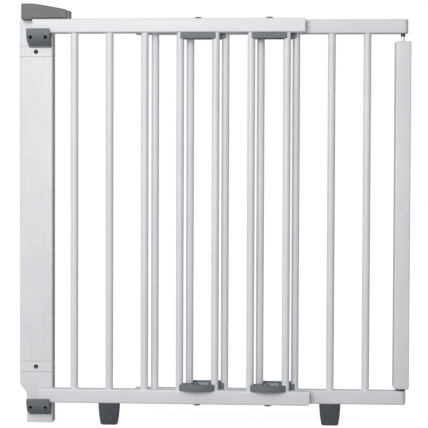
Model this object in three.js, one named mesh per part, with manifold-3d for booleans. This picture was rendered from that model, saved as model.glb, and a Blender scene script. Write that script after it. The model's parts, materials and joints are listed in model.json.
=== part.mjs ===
// Safety gate for a stairway or doorway, in millimetres, +Z up.
//
// Two lattice frames of round bars overlap side by side, the front one carrying the latch and
// the rear one the hinge. Four connectors clamp them together, and their slotted plates let the
// rear frame be drawn out until the gate fills the opening. The hinge post is fixed to the right
// wall and the latch board to the left wall. The rails' free ends drop into two catches on the
// board, and a sliding latch on the top rail stops them being raised again.
//
// X runs from the latch wall to the hinge wall, with zero midway between the walls. Y runs from
// front to back, with zero on the plane between the two frames. Z is zero on the floor.

import * as THREE from 'three';
import { mergeVertices } from 'three/addons/utils/BufferGeometryUtils.js';
import Module from 'manifold-3d';

const wasm = await Module();
wasm.setup();

// Overall sizes
const GATE_HEIGHT = 816.5;
const FLOOR_GAP = 45;
const BAR_COUNT = 7;
const BAR_SPACE = 56;
const WHOLE_BAYS_OUT = 2;
const FINE_SHIFT = 18.84;

// Fits
const SEAT_GAP = 0.3;
const FRAME_GAP = 1;

// Rails and bars
const BAR_DIAMETER = 15;
const BAR_SEAT = 14;
const RAIL_HEIGHT = 28;
const RAIL_DEPTH = 20;
const RAIL_EDGE = 3;
const RAIL_CORNER = 5;
const TOP_RAIL_LATCH_END = 84;
const TOP_RAIL_FREE_END = 36;
const BOTTOM_RAIL_LATCH_END = 72;
const BOTTOM_RAIL_FREE_END = 48;
const REAR_RAIL_FREE_END = 39.5;
const HINGE_REACH = 70.5;

// Feet
const FOOT_WIDTH = 42;
const FOOT_TIP_WIDTH = 33;
const FOOT_DEPTH = 18;
const FOOT_TIP_DEPTH = 14;
const FOOT_FLOOR_GAP = 1;
const FOOT_PEG_DIAMETER = 9;
const FOOT_PEG_LENGTH = 12;
const FOOT_BELLY = 1.2;

// Connectors: two moulded shoes, a slotted plate, a round-headed bolt and a nut
const SHOE_HEIGHT = 12;
const TOP_REAR_SHOE_HEIGHT = 9.4;
const SHOE_BULGE = 14;
const SHOE_END_BULGE = 2;
const SHOE_RIM = 3.5;
const PLATE_THICKNESS = 2.5;
const PLATE_LEVEL = 5;
const PLATE_EDGE = 4;
const PLATE_CORNER = 2.5;
const SLOT_WALL = 2.4;
const DRAW_OUT = 2.5;
const PUSH_IN = 16;
const BOLT_DIAMETER = 6;
const BOLT_HEAD_DIAMETER = 15.5;
const BOLT_HEAD_HEIGHT = 3.2;
const BOLT_HEAD_RIM = 0.6;
const BOLT_HEAD_FLAT = 0.75;
const BOLT_CHAMFER = 0.5;
const BOLT_TAIL = 1;
const NUT_WIDTH = 10;
const NUT_HEIGHT = 4.5;
const NUT_ROOM = 2;
const STAKE_DIAMETER = 5;
const LEVEL_SHOE_CORNER = 1;

// Latch board
const BOARD_WIDTH = 67.1;
const BOARD_THICKNESS = 30;
const BOARD_EDGE = 2.5;
const FIRST_BAR_REACH = 47.1;
const SKIRTING_DEPTH = 14;
const SKIRTING_HEIGHT = 61;
const SKIRTING_SLOPE = 18;
const BOARD_HOLE_MARGIN_TOP = 63.5;
const BOARD_HOLE_MARGIN_BOTTOM = 114;
const BOARD_SINK_DIAMETER = 9;
const BOARD_SINK_DEPTH = 14;
const BOARD_HOLE_DIAMETER = 5;
const GROOVE_OFFSET = 10.6;
const GROOVE_WIDTH = 2.6;
const GROOVE_DEPTH = 1.6;

// Catches on the board
const CATCH_WIDTH = 47;
const CATCH_BASE_WIDTH = 44.8;
const CATCH_SIDE_MARGIN = 19.1;
const CATCH_LIP_THICKNESS = 5;
const CATCH_LIP_RISE = 8;
const CATCH_LIP_CHAMFER = 1.5;
const CATCH_EDGE_CHAMFER = 1;
const CATCH_SIDE_CHAMFER = 2;
const CATCH_DROP = 27;
const CATCH_FACE_DROP = 4;
const CATCH_FLANGE_HEIGHT = 5;
const CATCH_FLANGE_THICKNESS = 4;
const CATCH_SCREW_SPACING = 30;
const CATCH_SCREW_DROP = 9.5;
const CATCH_SINK_DIAMETER = 7.2;
const CATCH_FLOOR_THICKNESS = 8;
const SCREW_DIAMETER = 3.6;
const SCREW_HEAD_DIAMETER = 6.4;
const SCREW_HEAD_HEIGHT = 2.2;
const SCREW_HEAD_ROUND = 0.8;
const SCREW_POINT = 4;
const SCREW_LENGTH = 24;

// Latch on the front top rail
const LATCH_OVERHANG = 22.3;
const LATCH_LENGTH = 91.3;
const LATCH_RISE = 30.5;
const LATCH_END_RISE = 18.5;
const LATCH_WALL = 1.8;
const LATCH_SEAM = 1.8;
const COVER_CORNER = 2;
const COVER_CURVE_START = 0.2;
const COVER_CURVE_KNEE = 0.37;
const COVER_KNEE_DROP = 0.3;
const WINDOW_SLACK = 0.5;
const LATCH_BASE_THICKNESS = 3;
const LATCH_BASE_CORNER = 1;
const LATCH_STROKE = 6;
const TIP_OUT = 8;
const TIP_DEPTH = 13;
const TIP_LENGTH = 20;
const TIP_INNER_EDGE = 0.5;
const TIP_LOW_EDGE = 2.5;
const TIP_TOP_EDGE = 3.5;
const TIP_SIDE_EDGE = 3;
const SLIDER_DEPTH = 9;
const SLIDER_HEIGHT = 6;
const TONGUE_LENGTH = 12;
const TONGUE_REACH = 10;
const TONGUE_THICKNESS = 3;
const TONGUE_PLACE = 26;
const KEEPER_COVER = 5;
const KEEPER_SIDE_GAP = 1.5;
const KEEPER_LIFT = 0.6;
const KEEPER_SETBACK = 2;
const KEEPER_METAL = 1.6;
const KEEPER_LENGTH = 16;
const KEEPER_DEPTH = 12;
const SPRING_DIAMETER = 6;
const SPRING_WIRE = 0.8;
const SPRING_LENGTH = 20;
const SPRING_TURNS = 7;
const SPRING_STEPS_PER_TURN = 9;
const WIRE_STEPS = 3;
const LATCH_SCREW_PLACE = 64;
const LATCH_SCREW_DEPTH = 14;
const LATCH_SCREW_HEAD = 1.8;

// Hinge
const POST_WIDTH = 30;
const POST_DEPTH = 30;
const POST_EDGE = 2.5;
const POST_BOTTOM_GAP = 4;
const POST_TOP_GAP = 16.5;
const PIN_DIAMETER = 6;
const PIN_SEAT = 22;
const SLEEVE_DIAMETER = 9;
const SLEEVE_HEIGHT = 5.5;
const WASHER_DIAMETER = 19.5;
const POST_HOLE_MARGIN = 75;
const POST_HOLE_DIAMETER = 5;
const POST_HOLE_DEPTH = 18;

// Smoothness of the round pieces
const BAR_SIDES = 24;
const SMALL_SIDES = 16;
const ARC_STEPS = 2;
const CURVE_STEPS = 6;

// Places worked out from the sizes above
const PITCH = BAR_SPACE + BAR_DIAMETER;
const FRAME_LENGTH = (BAR_COUNT - 1) * PITCH;
const FRAME_SHIFT = WHOLE_BAYS_OUT * PITCH + FINE_SHIFT;
const LATCH_SIDE_WIDTH = BOARD_WIDTH + FIRST_BAR_REACH;
const HINGE_SIDE_WIDTH = HINGE_REACH + POST_WIDTH / 2;
const OPENING_WIDTH = LATCH_SIDE_WIDTH + FRAME_LENGTH + FRAME_SHIFT + HINGE_SIDE_WIDTH;
const LATCH_WALL_X = -OPENING_WIDTH / 2;
const PIN_X = OPENING_WIDTH / 2 - POST_WIDTH / 2;
const FIRST_FRONT_BAR_X = LATCH_WALL_X + LATCH_SIDE_WIDTH;
const FIRST_REAR_BAR_X = FIRST_FRONT_BAR_X + FRAME_SHIFT;
const FACE_Y = FRAME_GAP / 2 + RAIL_DEPTH;
const BAR_Y = FRAME_GAP / 2 + RAIL_DEPTH / 2;
const BOTTOM_RAIL_TOP = FLOOR_GAP + RAIL_HEIGHT;
const TOP_RAIL_BOTTOM = GATE_HEIGHT - RAIL_HEIGHT;

// ---------------------------------------------------------------- shape helpers

const FRONT_VIEW = new THREE.Matrix4().makeBasis(
  new THREE.Vector3(1, 0, 0),
  new THREE.Vector3(0, 0, 1),
  new THREE.Vector3(0, -1, 0),
);
const SIDE_VIEW = new THREE.Matrix4().makeBasis(
  new THREE.Vector3(0, 1, 0),
  new THREE.Vector3(0, 0, 1),
  new THREE.Vector3(1, 0, 0),
);

// Turns a closed three.js geometry into a solid that can be cut and joined.
function solid(geometry) {
  const bare = geometry.index ? geometry.toNonIndexed() : geometry.clone();
  bare.deleteAttribute('normal');
  bare.deleteAttribute('uv');
  const merged = mergeVertices(bare, 1e-4);
  return new wasm.Manifold(new wasm.Mesh({
    numProp: 3,
    vertProperties: new Float32Array(merged.attributes.position.array),
    triVerts: new Uint32Array(merged.index.array),
  }));
}

// Turns a solid back into a three.js geometry.
function geometryOf(body) {
  const mesh = body.getMesh();
  const geometry = new THREE.BufferGeometry();
  geometry.setAttribute('position', new THREE.BufferAttribute(mesh.vertProperties, 3));
  geometry.setIndex(new THREE.BufferAttribute(mesh.triVerts, 1));
  geometry.computeVertexNormals();
  return geometry;
}

// A block between two opposite corners, given as pairs of limits.
function block([x0, x1], [y0, y1], [z0, z1]) {
  const geometry = new THREE.BoxGeometry(Math.abs(x1 - x0), Math.abs(y1 - y0), Math.abs(z1 - z0));
  geometry.translate((x0 + x1) / 2, (y0 + y1) / 2, (z0 + z1) / 2);
  return solid(geometry);
}

// An upright round rod standing at x, y between two heights.
function rod(diameter, x, y, [z0, z1], sides = SMALL_SIDES) {
  const geometry = new THREE.CylinderGeometry(diameter / 2, diameter / 2, Math.abs(z1 - z0), sides);
  geometry.rotateX(Math.PI / 2);
  geometry.translate(x, y, (z0 + z1) / 2);
  return solid(geometry);
}

// A round rod lying along Y.
function rodAlongY(diameter, x, [y0, y1], z, sides = SMALL_SIDES) {
  const geometry = new THREE.CylinderGeometry(diameter / 2, diameter / 2, Math.abs(y1 - y0), sides);
  geometry.translate(x, (y0 + y1) / 2, z);
  return solid(geometry);
}

// A round rod lying along X.
function rodAlongX(diameter, [x0, x1], y, z, sides = SMALL_SIDES) {
  const geometry = new THREE.CylinderGeometry(diameter / 2, diameter / 2, Math.abs(x1 - x0), sides);
  geometry.rotateZ(Math.PI / 2);
  geometry.translate((x0 + x1) / 2, y, z);
  return solid(geometry);
}

// A rectangle with a radius of its own at each corner, from the lower left one anticlockwise.
function roundedRectangle([x0, x1], [y0, y1], [lowLeft, lowRight, highRight, highLeft]) {
  const shape = new THREE.Shape();
  shape.moveTo(x0 + lowLeft, y0);
  shape.lineTo(x1 - lowRight, y0);
  if (lowRight > 0) shape.absarc(x1 - lowRight, y0 + lowRight, lowRight, -Math.PI / 2, 0);
  shape.lineTo(x1, y1 - highRight);
  if (highRight > 0) shape.absarc(x1 - highRight, y1 - highRight, highRight, 0, Math.PI / 2);
  shape.lineTo(x0 + highLeft, y1);
  if (highLeft > 0) shape.absarc(x0 + highLeft, y1 - highLeft, highLeft, Math.PI / 2, Math.PI);
  shape.lineTo(x0, y0 + lowLeft);
  if (lowLeft > 0) shape.absarc(x0 + lowLeft, y0 + lowLeft, lowLeft, Math.PI, 1.5 * Math.PI);
  return shape;
}

function polygon(points) {
  return new THREE.Shape(points.map(([x, y]) => new THREE.Vector2(x, y)));
}

function extruded(shape, depth, steps = ARC_STEPS) {
  return new THREE.ExtrudeGeometry(shape, { depth, bevelEnabled: false, curveSegments: steps });
}

// An outline drawn in plan, carried up between two heights.
function fromPlan(shape, [z0, z1], steps) {
  const geometry = extruded(shape, z1 - z0, steps);
  geometry.translate(0, 0, z0);
  return solid(geometry);
}

// An outline drawn as seen from the front, carried from y0 back to y1.
function fromFront(shape, [y0, y1], steps) {
  const geometry = extruded(shape, y1 - y0, steps);
  geometry.applyMatrix4(FRONT_VIEW);
  geometry.translate(0, y1, 0);
  return solid(geometry);
}

// An outline drawn in the plane of Y and Z, carried along X.
function fromSide(shape, [x0, x1], steps) {
  const geometry = extruded(shape, x1 - x0, steps);
  geometry.applyMatrix4(SIDE_VIEW);
  geometry.translate(x0, 0, 0);
  return solid(geometry);
}

const join = (first, ...others) => others.reduce((body, other) => body.add(other), first);
const cut = (first, ...others) => others.reduce((body, other) => body.subtract(other), first);
const meet = (first, ...others) => others.reduce((body, other) => body.intersect(other), first);

function finish(color, roughness, metalness) {
  return new THREE.MeshStandardMaterial({ color, roughness, metalness });
}

const FINISHES = {
  whitePaint: [0xe9e9ec, 0.42, 0],
  greyPlastic: [0x6b7278, 0.5, 0],
  darkPlastic: [0x4c4d52, 0.55, 0],
  tipPlastic: [0x776e67, 0.5, 0],
  zincPlate: [0xb9cbd8, 0.32, 0.9],
  steel: [0xb4b7ba, 0.3, 0.9],
};

const gate = new THREE.Group();

// Adds a named piece to the gate or to one of its groups, at the origin unless told otherwise.
function piece(name, shape, finishName, place = [0, 0, 0], group = gate) {
  const geometry = shape instanceof wasm.Manifold ? geometryOf(shape) : shape;
  const mesh = new THREE.Mesh(geometry, finish(...FINISHES[finishName]));
  mesh.name = name;
  mesh.position.set(...place);
  group.add(mesh);
  return mesh;
}

// ---------------------------------------------------------------- the two lattice frames

// A rail is the common part of three outlines: its rounded section, its plan and its front view.
function rail({ x, y, z, planRadii, frontRadii }) {
  const ySpan = [y - RAIL_DEPTH / 2, y + RAIL_DEPTH / 2];
  const zSpan = [z, z + RAIL_HEIGHT];
  const edge = RAIL_EDGE;
  return meet(
    fromSide(roundedRectangle(ySpan, zSpan, [edge, edge, edge, edge]), x),
    fromPlan(roundedRectangle(x, ySpan, planRadii), zSpan, CURVE_STEPS),
    fromFront(roundedRectangle(x, zSpan, frontRadii), ySpan),
  );
}

const atRailTop = (z) => z === FLOOR_GAP;

// The blind holes that the bars stand in, on the side of the rail that faces the other rail.
function barSeats(firstX, y, z) {
  const face = atRailTop(z) ? z + RAIL_HEIGHT : z;
  const span = atRailTop(z) ? [face - BAR_SEAT, face + 1] : [face - 1, face + BAR_SEAT];
  const places = Array.from({ length: BAR_COUNT }, (_, i) => firstX + i * PITCH);
  return places.map((x) => rod(BAR_DIAMETER + 2 * SEAT_GAP, x, y, span, BAR_SIDES));
}

function footSeat(x, y) {
  return rod(FOOT_PEG_DIAMETER + 2 * SEAT_GAP, x, y, [FLOOR_GAP - 1, FLOOR_GAP + FOOT_PEG_LENGTH]);
}

const lastBay = BAR_COUNT - 2;
const CONNECTOR_BAYS = [Math.max(lastBay - 2, WHOLE_BAYS_OUT), lastBay];
const bayCentre = (bay) => FIRST_FRONT_BAR_X + (bay + 0.5) * PITCH;

function boltHoles(z) {
  const span = [z - 1, z + RAIL_HEIGHT + 1];
  return CONNECTOR_BAYS.map((bay) => rod(BOLT_DIAMETER + 2 * SEAT_GAP, bayCentre(bay), -BAR_Y, span));
}

function pinBore(z) {
  const face = atRailTop(z) ? z + RAIL_HEIGHT : z;
  const depth = PIN_SEAT + SEAT_GAP;
  const span = atRailTop(z) ? [face - depth, face + 1] : [face - 1, face + depth];
  return rod(PIN_DIAMETER + 2 * SEAT_GAP, PIN_X, BAR_Y, span);
}

const FOOT_X = {
  left: FIRST_FRONT_BAR_X + PITCH,
  right: FIRST_REAR_BAR_X + (BAR_COUNT - 2) * PITCH,
};

function frames() {
  const lastFront = FIRST_FRONT_BAR_X + FRAME_LENGTH;
  const square = [0, 0, 0, 0];
  const lowCorner = [0, RAIL_CORNER, 0, 0];
  const topSpan = [FIRST_FRONT_BAR_X - TOP_RAIL_LATCH_END, lastFront + TOP_RAIL_FREE_END];
  const bottomSpan = [FIRST_FRONT_BAR_X - BOTTOM_RAIL_LATCH_END, lastFront + BOTTOM_RAIL_FREE_END];
  const rearSpan = [FIRST_REAR_BAR_X - REAR_RAIL_FREE_END, PIN_X + RAIL_DEPTH / 2];
  const hingeEnd = RAIL_DEPTH / 2 - 0.01;
  const rearPlan = [0, hingeEnd, hingeEnd, 0];
  const frontTop = rail({ x: topSpan, y: -BAR_Y, z: TOP_RAIL_BOTTOM, planRadii: square, frontRadii: square });
  const frontBottom = rail({
    x: bottomSpan,
    y: -BAR_Y,
    z: FLOOR_GAP,
    planRadii: square,
    frontRadii: lowCorner,
  });
  const rearTop = rail({
    x: rearSpan,
    y: BAR_Y,
    z: TOP_RAIL_BOTTOM,
    planRadii: rearPlan,
    frontRadii: square,
  });
  const rearBottom = rail({
    x: rearSpan,
    y: BAR_Y,
    z: FLOOR_GAP,
    planRadii: rearPlan,
    frontRadii: lowCorner,
  });
  const frontSeats = (z) => barSeats(FIRST_FRONT_BAR_X, -BAR_Y, z);
  const rearSeats = (z) => barSeats(FIRST_REAR_BAR_X, BAR_Y, z);
  const screwHole = latchScrewHole();
  piece(
    'front_top_rail',
    cut(frontTop, ...frontSeats(TOP_RAIL_BOTTOM), ...boltHoles(TOP_RAIL_BOTTOM), screwHole),
    'whitePaint',
  );
  piece(
    'front_bottom_rail',
    cut(frontBottom, ...frontSeats(FLOOR_GAP), ...boltHoles(FLOOR_GAP), footSeat(FOOT_X.left, -BAR_Y)),
    'whitePaint',
  );
  piece(
    'rear_top_rail',
    cut(rearTop, ...rearSeats(TOP_RAIL_BOTTOM), pinBore(TOP_RAIL_BOTTOM)),
    'whitePaint',
  );
  piece(
    'rear_bottom_rail',
    cut(rearBottom, ...rearSeats(FLOOR_GAP), pinBore(FLOOR_GAP), footSeat(FOOT_X.right, BAR_Y)),
    'whitePaint',
  );
}

function bars() {
  const seated = BAR_SEAT - SEAT_GAP;
  const length = TOP_RAIL_BOTTOM - BOTTOM_RAIL_TOP + 2 * seated;
  const geometry = new THREE.CylinderGeometry(BAR_DIAMETER / 2, BAR_DIAMETER / 2, length, BAR_SIDES);
  geometry.rotateX(Math.PI / 2);
  const middle = (TOP_RAIL_BOTTOM + BOTTOM_RAIL_TOP) / 2;
  for (let i = 0; i < BAR_COUNT; i += 1) {
    piece(`front_bar_${i + 1}`, geometry, 'whitePaint', [FIRST_FRONT_BAR_X + i * PITCH, -BAR_Y, middle]);
    piece(`rear_bar_${i + 1}`, geometry, 'whitePaint', [FIRST_REAR_BAR_X + i * PITCH, BAR_Y, middle]);
  }
}

// ---------------------------------------------------------------- feet

// A tapered foot hanging from its peg, with sides that belly out a little.
function foot() {
  const top = -SEAT_GAP;
  const bottom = FOOT_FLOOR_GAP - FLOOR_GAP;
  const taperedOutline = (topWidth, tipWidth) => {
    const shape = new THREE.Shape();
    const middle = (topWidth + tipWidth) / 4 + FOOT_BELLY;
    shape.moveTo(-tipWidth / 2, bottom);
    shape.lineTo(tipWidth / 2, bottom);
    shape.quadraticCurveTo(middle, (top + bottom) / 2, topWidth / 2, top);
    shape.lineTo(-topWidth / 2, top);
    shape.quadraticCurveTo(-middle, (top + bottom) / 2, -tipWidth / 2, bottom);
    return shape;
  };
  return join(
    meet(
      fromFront(taperedOutline(FOOT_WIDTH, FOOT_TIP_WIDTH), [-FOOT_DEPTH, FOOT_DEPTH], CURVE_STEPS),
      fromSide(taperedOutline(FOOT_DEPTH, FOOT_TIP_DEPTH), [-FOOT_WIDTH, FOOT_WIDTH], CURVE_STEPS),
    ),
    rod(FOOT_PEG_DIAMETER, 0, 0, [top - 1, FOOT_PEG_LENGTH - SEAT_GAP]),
  );
}

function feet() {
  const geometry = geometryOf(foot());
  piece('left_foot', geometry, 'darkPlastic', [FOOT_X.left, -BAR_Y, FLOOR_GAP]);
  piece('right_foot', geometry, 'darkPlastic', [FOOT_X.right, BAR_Y, FLOOR_GAP]);
}

// ---------------------------------------------------------------- connectors
//
// Each connector is drawn on a rail face at z = 0, with x = 0 at the middle of the front bay and
// z pointing away from the rail. shift is how far the rear bay lies to the side, and way is the
// side it lies on, so the connectors under the top rails are the same drawing turned over.

const SLOT_HALF = BOLT_DIAMETER / 2 + SEAT_GAP;
const PLATE_NEAR = DRAW_OUT + SLOT_HALF + SLOT_WALL;
const PLATE_FAR = PUSH_IN + SLOT_HALF + SLOT_WALL;
const PLATE_FRONT = BAR_Y + SLOT_HALF + PLATE_EDGE;
const PLATE_TOP = PLATE_LEVEL + PLATE_THICKNESS;
const POCKET_FLOOR = PLATE_LEVEL - SEAT_GAP;
const INNER_Y = FRAME_GAP / 2 + SEAT_GAP;
const sideways = (way, near, far) => [Math.min(way * near, way * far), Math.max(way * near, way * far)];

// Plan of a shoe: straight on the side that faces the other frame, and either level with the
// rail's face or swelling past it, as an arc on the front shoe and as a ledge on the rear one.
function shoePlan(style, bulge) {
  const half = PITCH / 2 - SEAT_GAP;
  const outer = FACE_Y + bulge;
  const shape = new THREE.Shape();
  shape.moveTo(-half, INNER_Y);
  shape.lineTo(half, INNER_Y);
  if (style === 'arc' && bulge > 0) {
    shape.lineTo(half, FACE_Y + SHOE_END_BULGE);
    shape.quadraticCurveTo(half / 2, outer, 0, outer);
    shape.quadraticCurveTo(-half / 2, outer, -half, FACE_Y + SHOE_END_BULGE);
  } else {
    const corner = Math.max(bulge - SHOE_END_BULGE, LEVEL_SHOE_CORNER);
    shape.lineTo(half, outer - corner);
    shape.quadraticCurveTo(half, outer, half - corner, outer);
    shape.lineTo(corner - half, outer);
    shape.quadraticCurveTo(-half, outer, -half, outer - corner);
  }
  return shape;
}

// The round notches that fit a shoe between its two bars.
function barNotches(height) {
  const notch = BAR_DIAMETER + 2 * SEAT_GAP;
  return [-1, 1].map((side) => rod(notch, (side * PITCH) / 2, BAR_Y, [-1, height + 1], BAR_SIDES));
}

function frontShoe(way, bulge) {
  const body = fromPlan(shoePlan('arc', bulge), [SEAT_GAP, SHOE_HEIGHT], CURVE_STEPS);
  const sweep = PLATE_FAR + DRAW_OUT + SEAT_GAP;
  const ySpan = [-1, PLATE_FRONT + SEAT_GAP];
  const nutRoom = NUT_WIDTH / 2 + NUT_ROOM;
  const windowSpan = sideways(way, Math.min(Math.abs(FINE_SHIFT) - BAR_SPACE / 2, -nutRoom), sweep);
  const shaped = cut(
    body,
    ...barNotches(SHOE_HEIGHT),
    block([-sweep, sweep], ySpan, [POCKET_FLOOR, PLATE_TOP + SEAT_GAP]),
    block(windowSpan, ySpan, [POCKET_FLOOR, SHOE_HEIGHT + 1]),
    rod(BOLT_DIAMETER + 2 * SEAT_GAP, 0, BAR_Y, [-1, POCKET_FLOOR + 1]),
  );
  return shaped.mirror([0, 1, 0]);
}

function rearShoe(way, bulge, height) {
  const body = fromPlan(shoePlan('ledge', bulge), [SEAT_GAP, height], CURVE_STEPS);
  const shaped = cut(body, ...barNotches(height)).translate(way * Math.abs(FINE_SHIFT), 0, 0);
  const pocket = sideways(way, -PLATE_NEAR - SEAT_GAP, PLATE_FAR + SEAT_GAP);
  const ySpan = [-1, plateRear(bulge) + SEAT_GAP];
  return join(
    cut(shaped, block(pocket, ySpan, [POCKET_FLOOR, height + 1])),
    ...stakes(way, bulge, STAKE_DIAMETER, [POCKET_FLOOR - 1, PLATE_TOP]),
  );
}

const plateRear = (bulge) => FACE_Y + bulge - SHOE_RIM;

// The two moulded studs that fix the plate in its rear shoe, or the holes that take them.
function stakes(way, bulge, diameter, zSpan) {
  const middle = (PLATE_FAR - PLATE_NEAR) / 2;
  const apart = (PLATE_FAR + PLATE_NEAR) / 4;
  const y = (INNER_Y + plateRear(bulge)) / 2;
  return [-1, 1].map((side) => rod(diameter, way * middle + side * apart, y, zSpan));
}

function clampPlate(way, bulge) {
  const zSpan = [PLATE_LEVEL, PLATE_TOP];
  const corners = [PLATE_CORNER, PLATE_CORNER, PLATE_CORNER, PLATE_CORNER];
  const outline = roundedRectangle(
    sideways(way, -PLATE_NEAR, PLATE_FAR),
    [-PLATE_FRONT, plateRear(bulge)],
    corners,
  );
  const slot = roundedRectangle(
    sideways(way, -DRAW_OUT - SLOT_HALF, PUSH_IN + SLOT_HALF),
    [-BAR_Y - SLOT_HALF, -BAR_Y + SLOT_HALF],
    Array(4).fill(SLOT_HALF - 0.01),
  );
  return cut(
    fromPlan(outline, zSpan),
    fromPlan(slot, [PLATE_LEVEL - 1, PLATE_TOP + 1]),
    ...stakes(way, bulge, STAKE_DIAMETER + 2 * SEAT_GAP, [PLATE_LEVEL - 1, PLATE_TOP + 1]),
  );
}

// A round-headed bolt whose head lies on the rail's far side.
function clampBolt() {
  const headBase = -RAIL_HEIGHT - SEAT_GAP;
  const tail = PLATE_TOP + SEAT_GAP + NUT_HEIGHT + BOLT_TAIL;
  const radius = BOLT_HEAD_DIAMETER / 2;
  const shape = new THREE.Path();
  shape.moveTo(0, headBase - BOLT_HEAD_HEIGHT);
  shape.quadraticCurveTo(
    BOLT_HEAD_FLAT * radius,
    headBase - BOLT_HEAD_HEIGHT,
    radius,
    headBase - BOLT_HEAD_RIM,
  );
  shape.lineTo(radius, headBase);
  shape.lineTo(BOLT_DIAMETER / 2, headBase);
  shape.lineTo(BOLT_DIAMETER / 2, tail - BOLT_CHAMFER);
  shape.lineTo(BOLT_DIAMETER / 2 - BOLT_CHAMFER, tail);
  shape.lineTo(0, tail);
  const geometry = new THREE.LatheGeometry(shape.getPoints(5), SMALL_SIDES);
  geometry.rotateX(Math.PI / 2);
  geometry.translate(0, -BAR_Y, 0);
  return solid(geometry);
}

function clampNut() {
  const corner = NUT_WIDTH / Math.sqrt(3);
  const base = PLATE_TOP + SEAT_GAP;
  return cut(
    rod(2 * corner, 0, -BAR_Y, [base, base + NUT_HEIGHT], 6),
    rod(BOLT_DIAMETER + 2 * SEAT_GAP, 0, -BAR_Y, [base - 1, base + NUT_HEIGHT + 1]),
  );
}

// One drawing serves both levels: the top connectors hang under their rails, turned over.
function connectors() {
  const levels = [
    { name: 'bottom', z: BOTTOM_RAIL_TOP, turn: 0, bulge: SHOE_BULGE, rearHeight: SHOE_HEIGHT },
    { name: 'top', z: TOP_RAIL_BOTTOM, turn: Math.PI, bulge: 0, rearHeight: TOP_REAR_SHOE_HEIGHT },
  ];
  for (const { name, z, turn, bulge, rearHeight } of levels) {
    const way = Math.sign(FINE_SHIFT) * (turn === 0 ? 1 : -1);
    const shapes = [
      ['front_shoe', geometryOf(frontShoe(way, bulge)), 'greyPlastic'],
      ['rear_shoe', geometryOf(rearShoe(way, bulge, rearHeight)), 'greyPlastic'],
      ['clamp_plate', geometryOf(clampPlate(way, bulge)), 'zincPlate'],
      ['clamp_bolt', geometryOf(clampBolt()), 'steel'],
      ['clamp_nut', geometryOf(clampNut()), 'steel'],
    ];
    CONNECTOR_BAYS.forEach((bay, index) => {
      const group = new THREE.Group();
      group.position.set(bayCentre(bay), 0, z);
      group.rotation.y = turn;
      gate.add(group);
      const side = index === 0 ? 'left' : 'right';
      for (const [kind, geometry, finishName] of shapes) {
        piece(`${name}_${side}_${kind}`, geometry, finishName, [0, 0, 0], group);
      }
    });
  }
}

// ---------------------------------------------------------------- latch board

const BOARD_FRONT = FRAME_GAP / 2;
const BOARD_MIDDLE_X = LATCH_WALL_X + BOARD_WIDTH / 2;
const CATCH_MIDDLE_X = LATCH_WALL_X + CATCH_SIDE_MARGIN + CATCH_WIDTH / 2;
const CATCH_SCREW_XS = [-0.5, 0.5].map((side) => CATCH_MIDDLE_X + side * CATCH_SCREW_SPACING);
const CATCH_LEVELS = { top: TOP_RAIL_BOTTOM, bottom: FLOOR_GAP };

function latchBoard() {
  const right = LATCH_WALL_X + BOARD_WIDTH;
  const ySpan = [BOARD_FRONT, BOARD_FRONT + BOARD_THICKNESS];
  const edges = Array(4).fill(BOARD_EDGE);
  const skirting = polygon([
    [LATCH_WALL_X - 1, -1],
    [LATCH_WALL_X + SKIRTING_DEPTH, -1],
    [LATCH_WALL_X + SKIRTING_DEPTH, SKIRTING_HEIGHT],
    [LATCH_WALL_X, SKIRTING_HEIGHT + SKIRTING_SLOPE],
    [LATCH_WALL_X - 1, SKIRTING_HEIGHT + SKIRTING_SLOPE],
  ]);
  const holes = [GATE_HEIGHT - BOARD_HOLE_MARGIN_TOP, BOARD_HOLE_MARGIN_BOTTOM];
  const grooveX = [LATCH_WALL_X - 1, right + 1];
  const grooveY = [BOARD_FRONT - 1, BOARD_FRONT + GROOVE_DEPTH];
  const grooves = holes.flatMap((z) => [-GROOVE_OFFSET, GROOVE_OFFSET].map((offset) => block(
    grooveX,
    grooveY,
    [z + offset - GROOVE_WIDTH / 2, z + offset + GROOVE_WIDTH / 2],
  )));
  const wallHoles = holes.flatMap((z) => [
    rodAlongY(BOARD_SINK_DIAMETER, BOARD_MIDDLE_X, [ySpan[0] - 1, ySpan[0] + BOARD_SINK_DEPTH], z, BAR_SIDES),
    rodAlongY(BOARD_HOLE_DIAMETER, BOARD_MIDDLE_X, [ySpan[0] - 1, ySpan[1] + 1], z),
  ]);
  const pilotHoles = Object.values(CATCH_LEVELS).flatMap((z) => CATCH_SCREW_XS.map((x) => rodAlongY(
    SCREW_DIAMETER + 2 * SEAT_GAP,
    x,
    [ySpan[0] - 1, SCREW_END_Y + SEAT_GAP],
    z - CATCH_SCREW_DROP,
  )));
  piece(
    'latch_board',
    cut(
      fromPlan(roundedRectangle([LATCH_WALL_X, right], ySpan, edges), [0, GATE_HEIGHT]),
      fromFront(skirting, [ySpan[0] - 1, ySpan[1] + 1]),
      ...grooves,
      ...wallHoles,
      ...pilotHoles,
      keeperScrewHole(),
    ),
    'whitePaint',
  );
}

// ---------------------------------------------------------------- catches

const CATCH_BACK = BOARD_FRONT - SEAT_GAP;
const CATCH_LIP_BACK = -FACE_Y - FRAME_GAP;
const CATCH_LIP_FRONT = CATCH_LIP_BACK - CATCH_LIP_THICKNESS;
const SCREW_HEAD_Y = CATCH_BACK - CATCH_FLOOR_THICKNESS;
const SCREW_END_Y = SCREW_HEAD_Y - SEAT_GAP - SCREW_HEAD_HEIGHT + SCREW_LENGTH;

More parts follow.
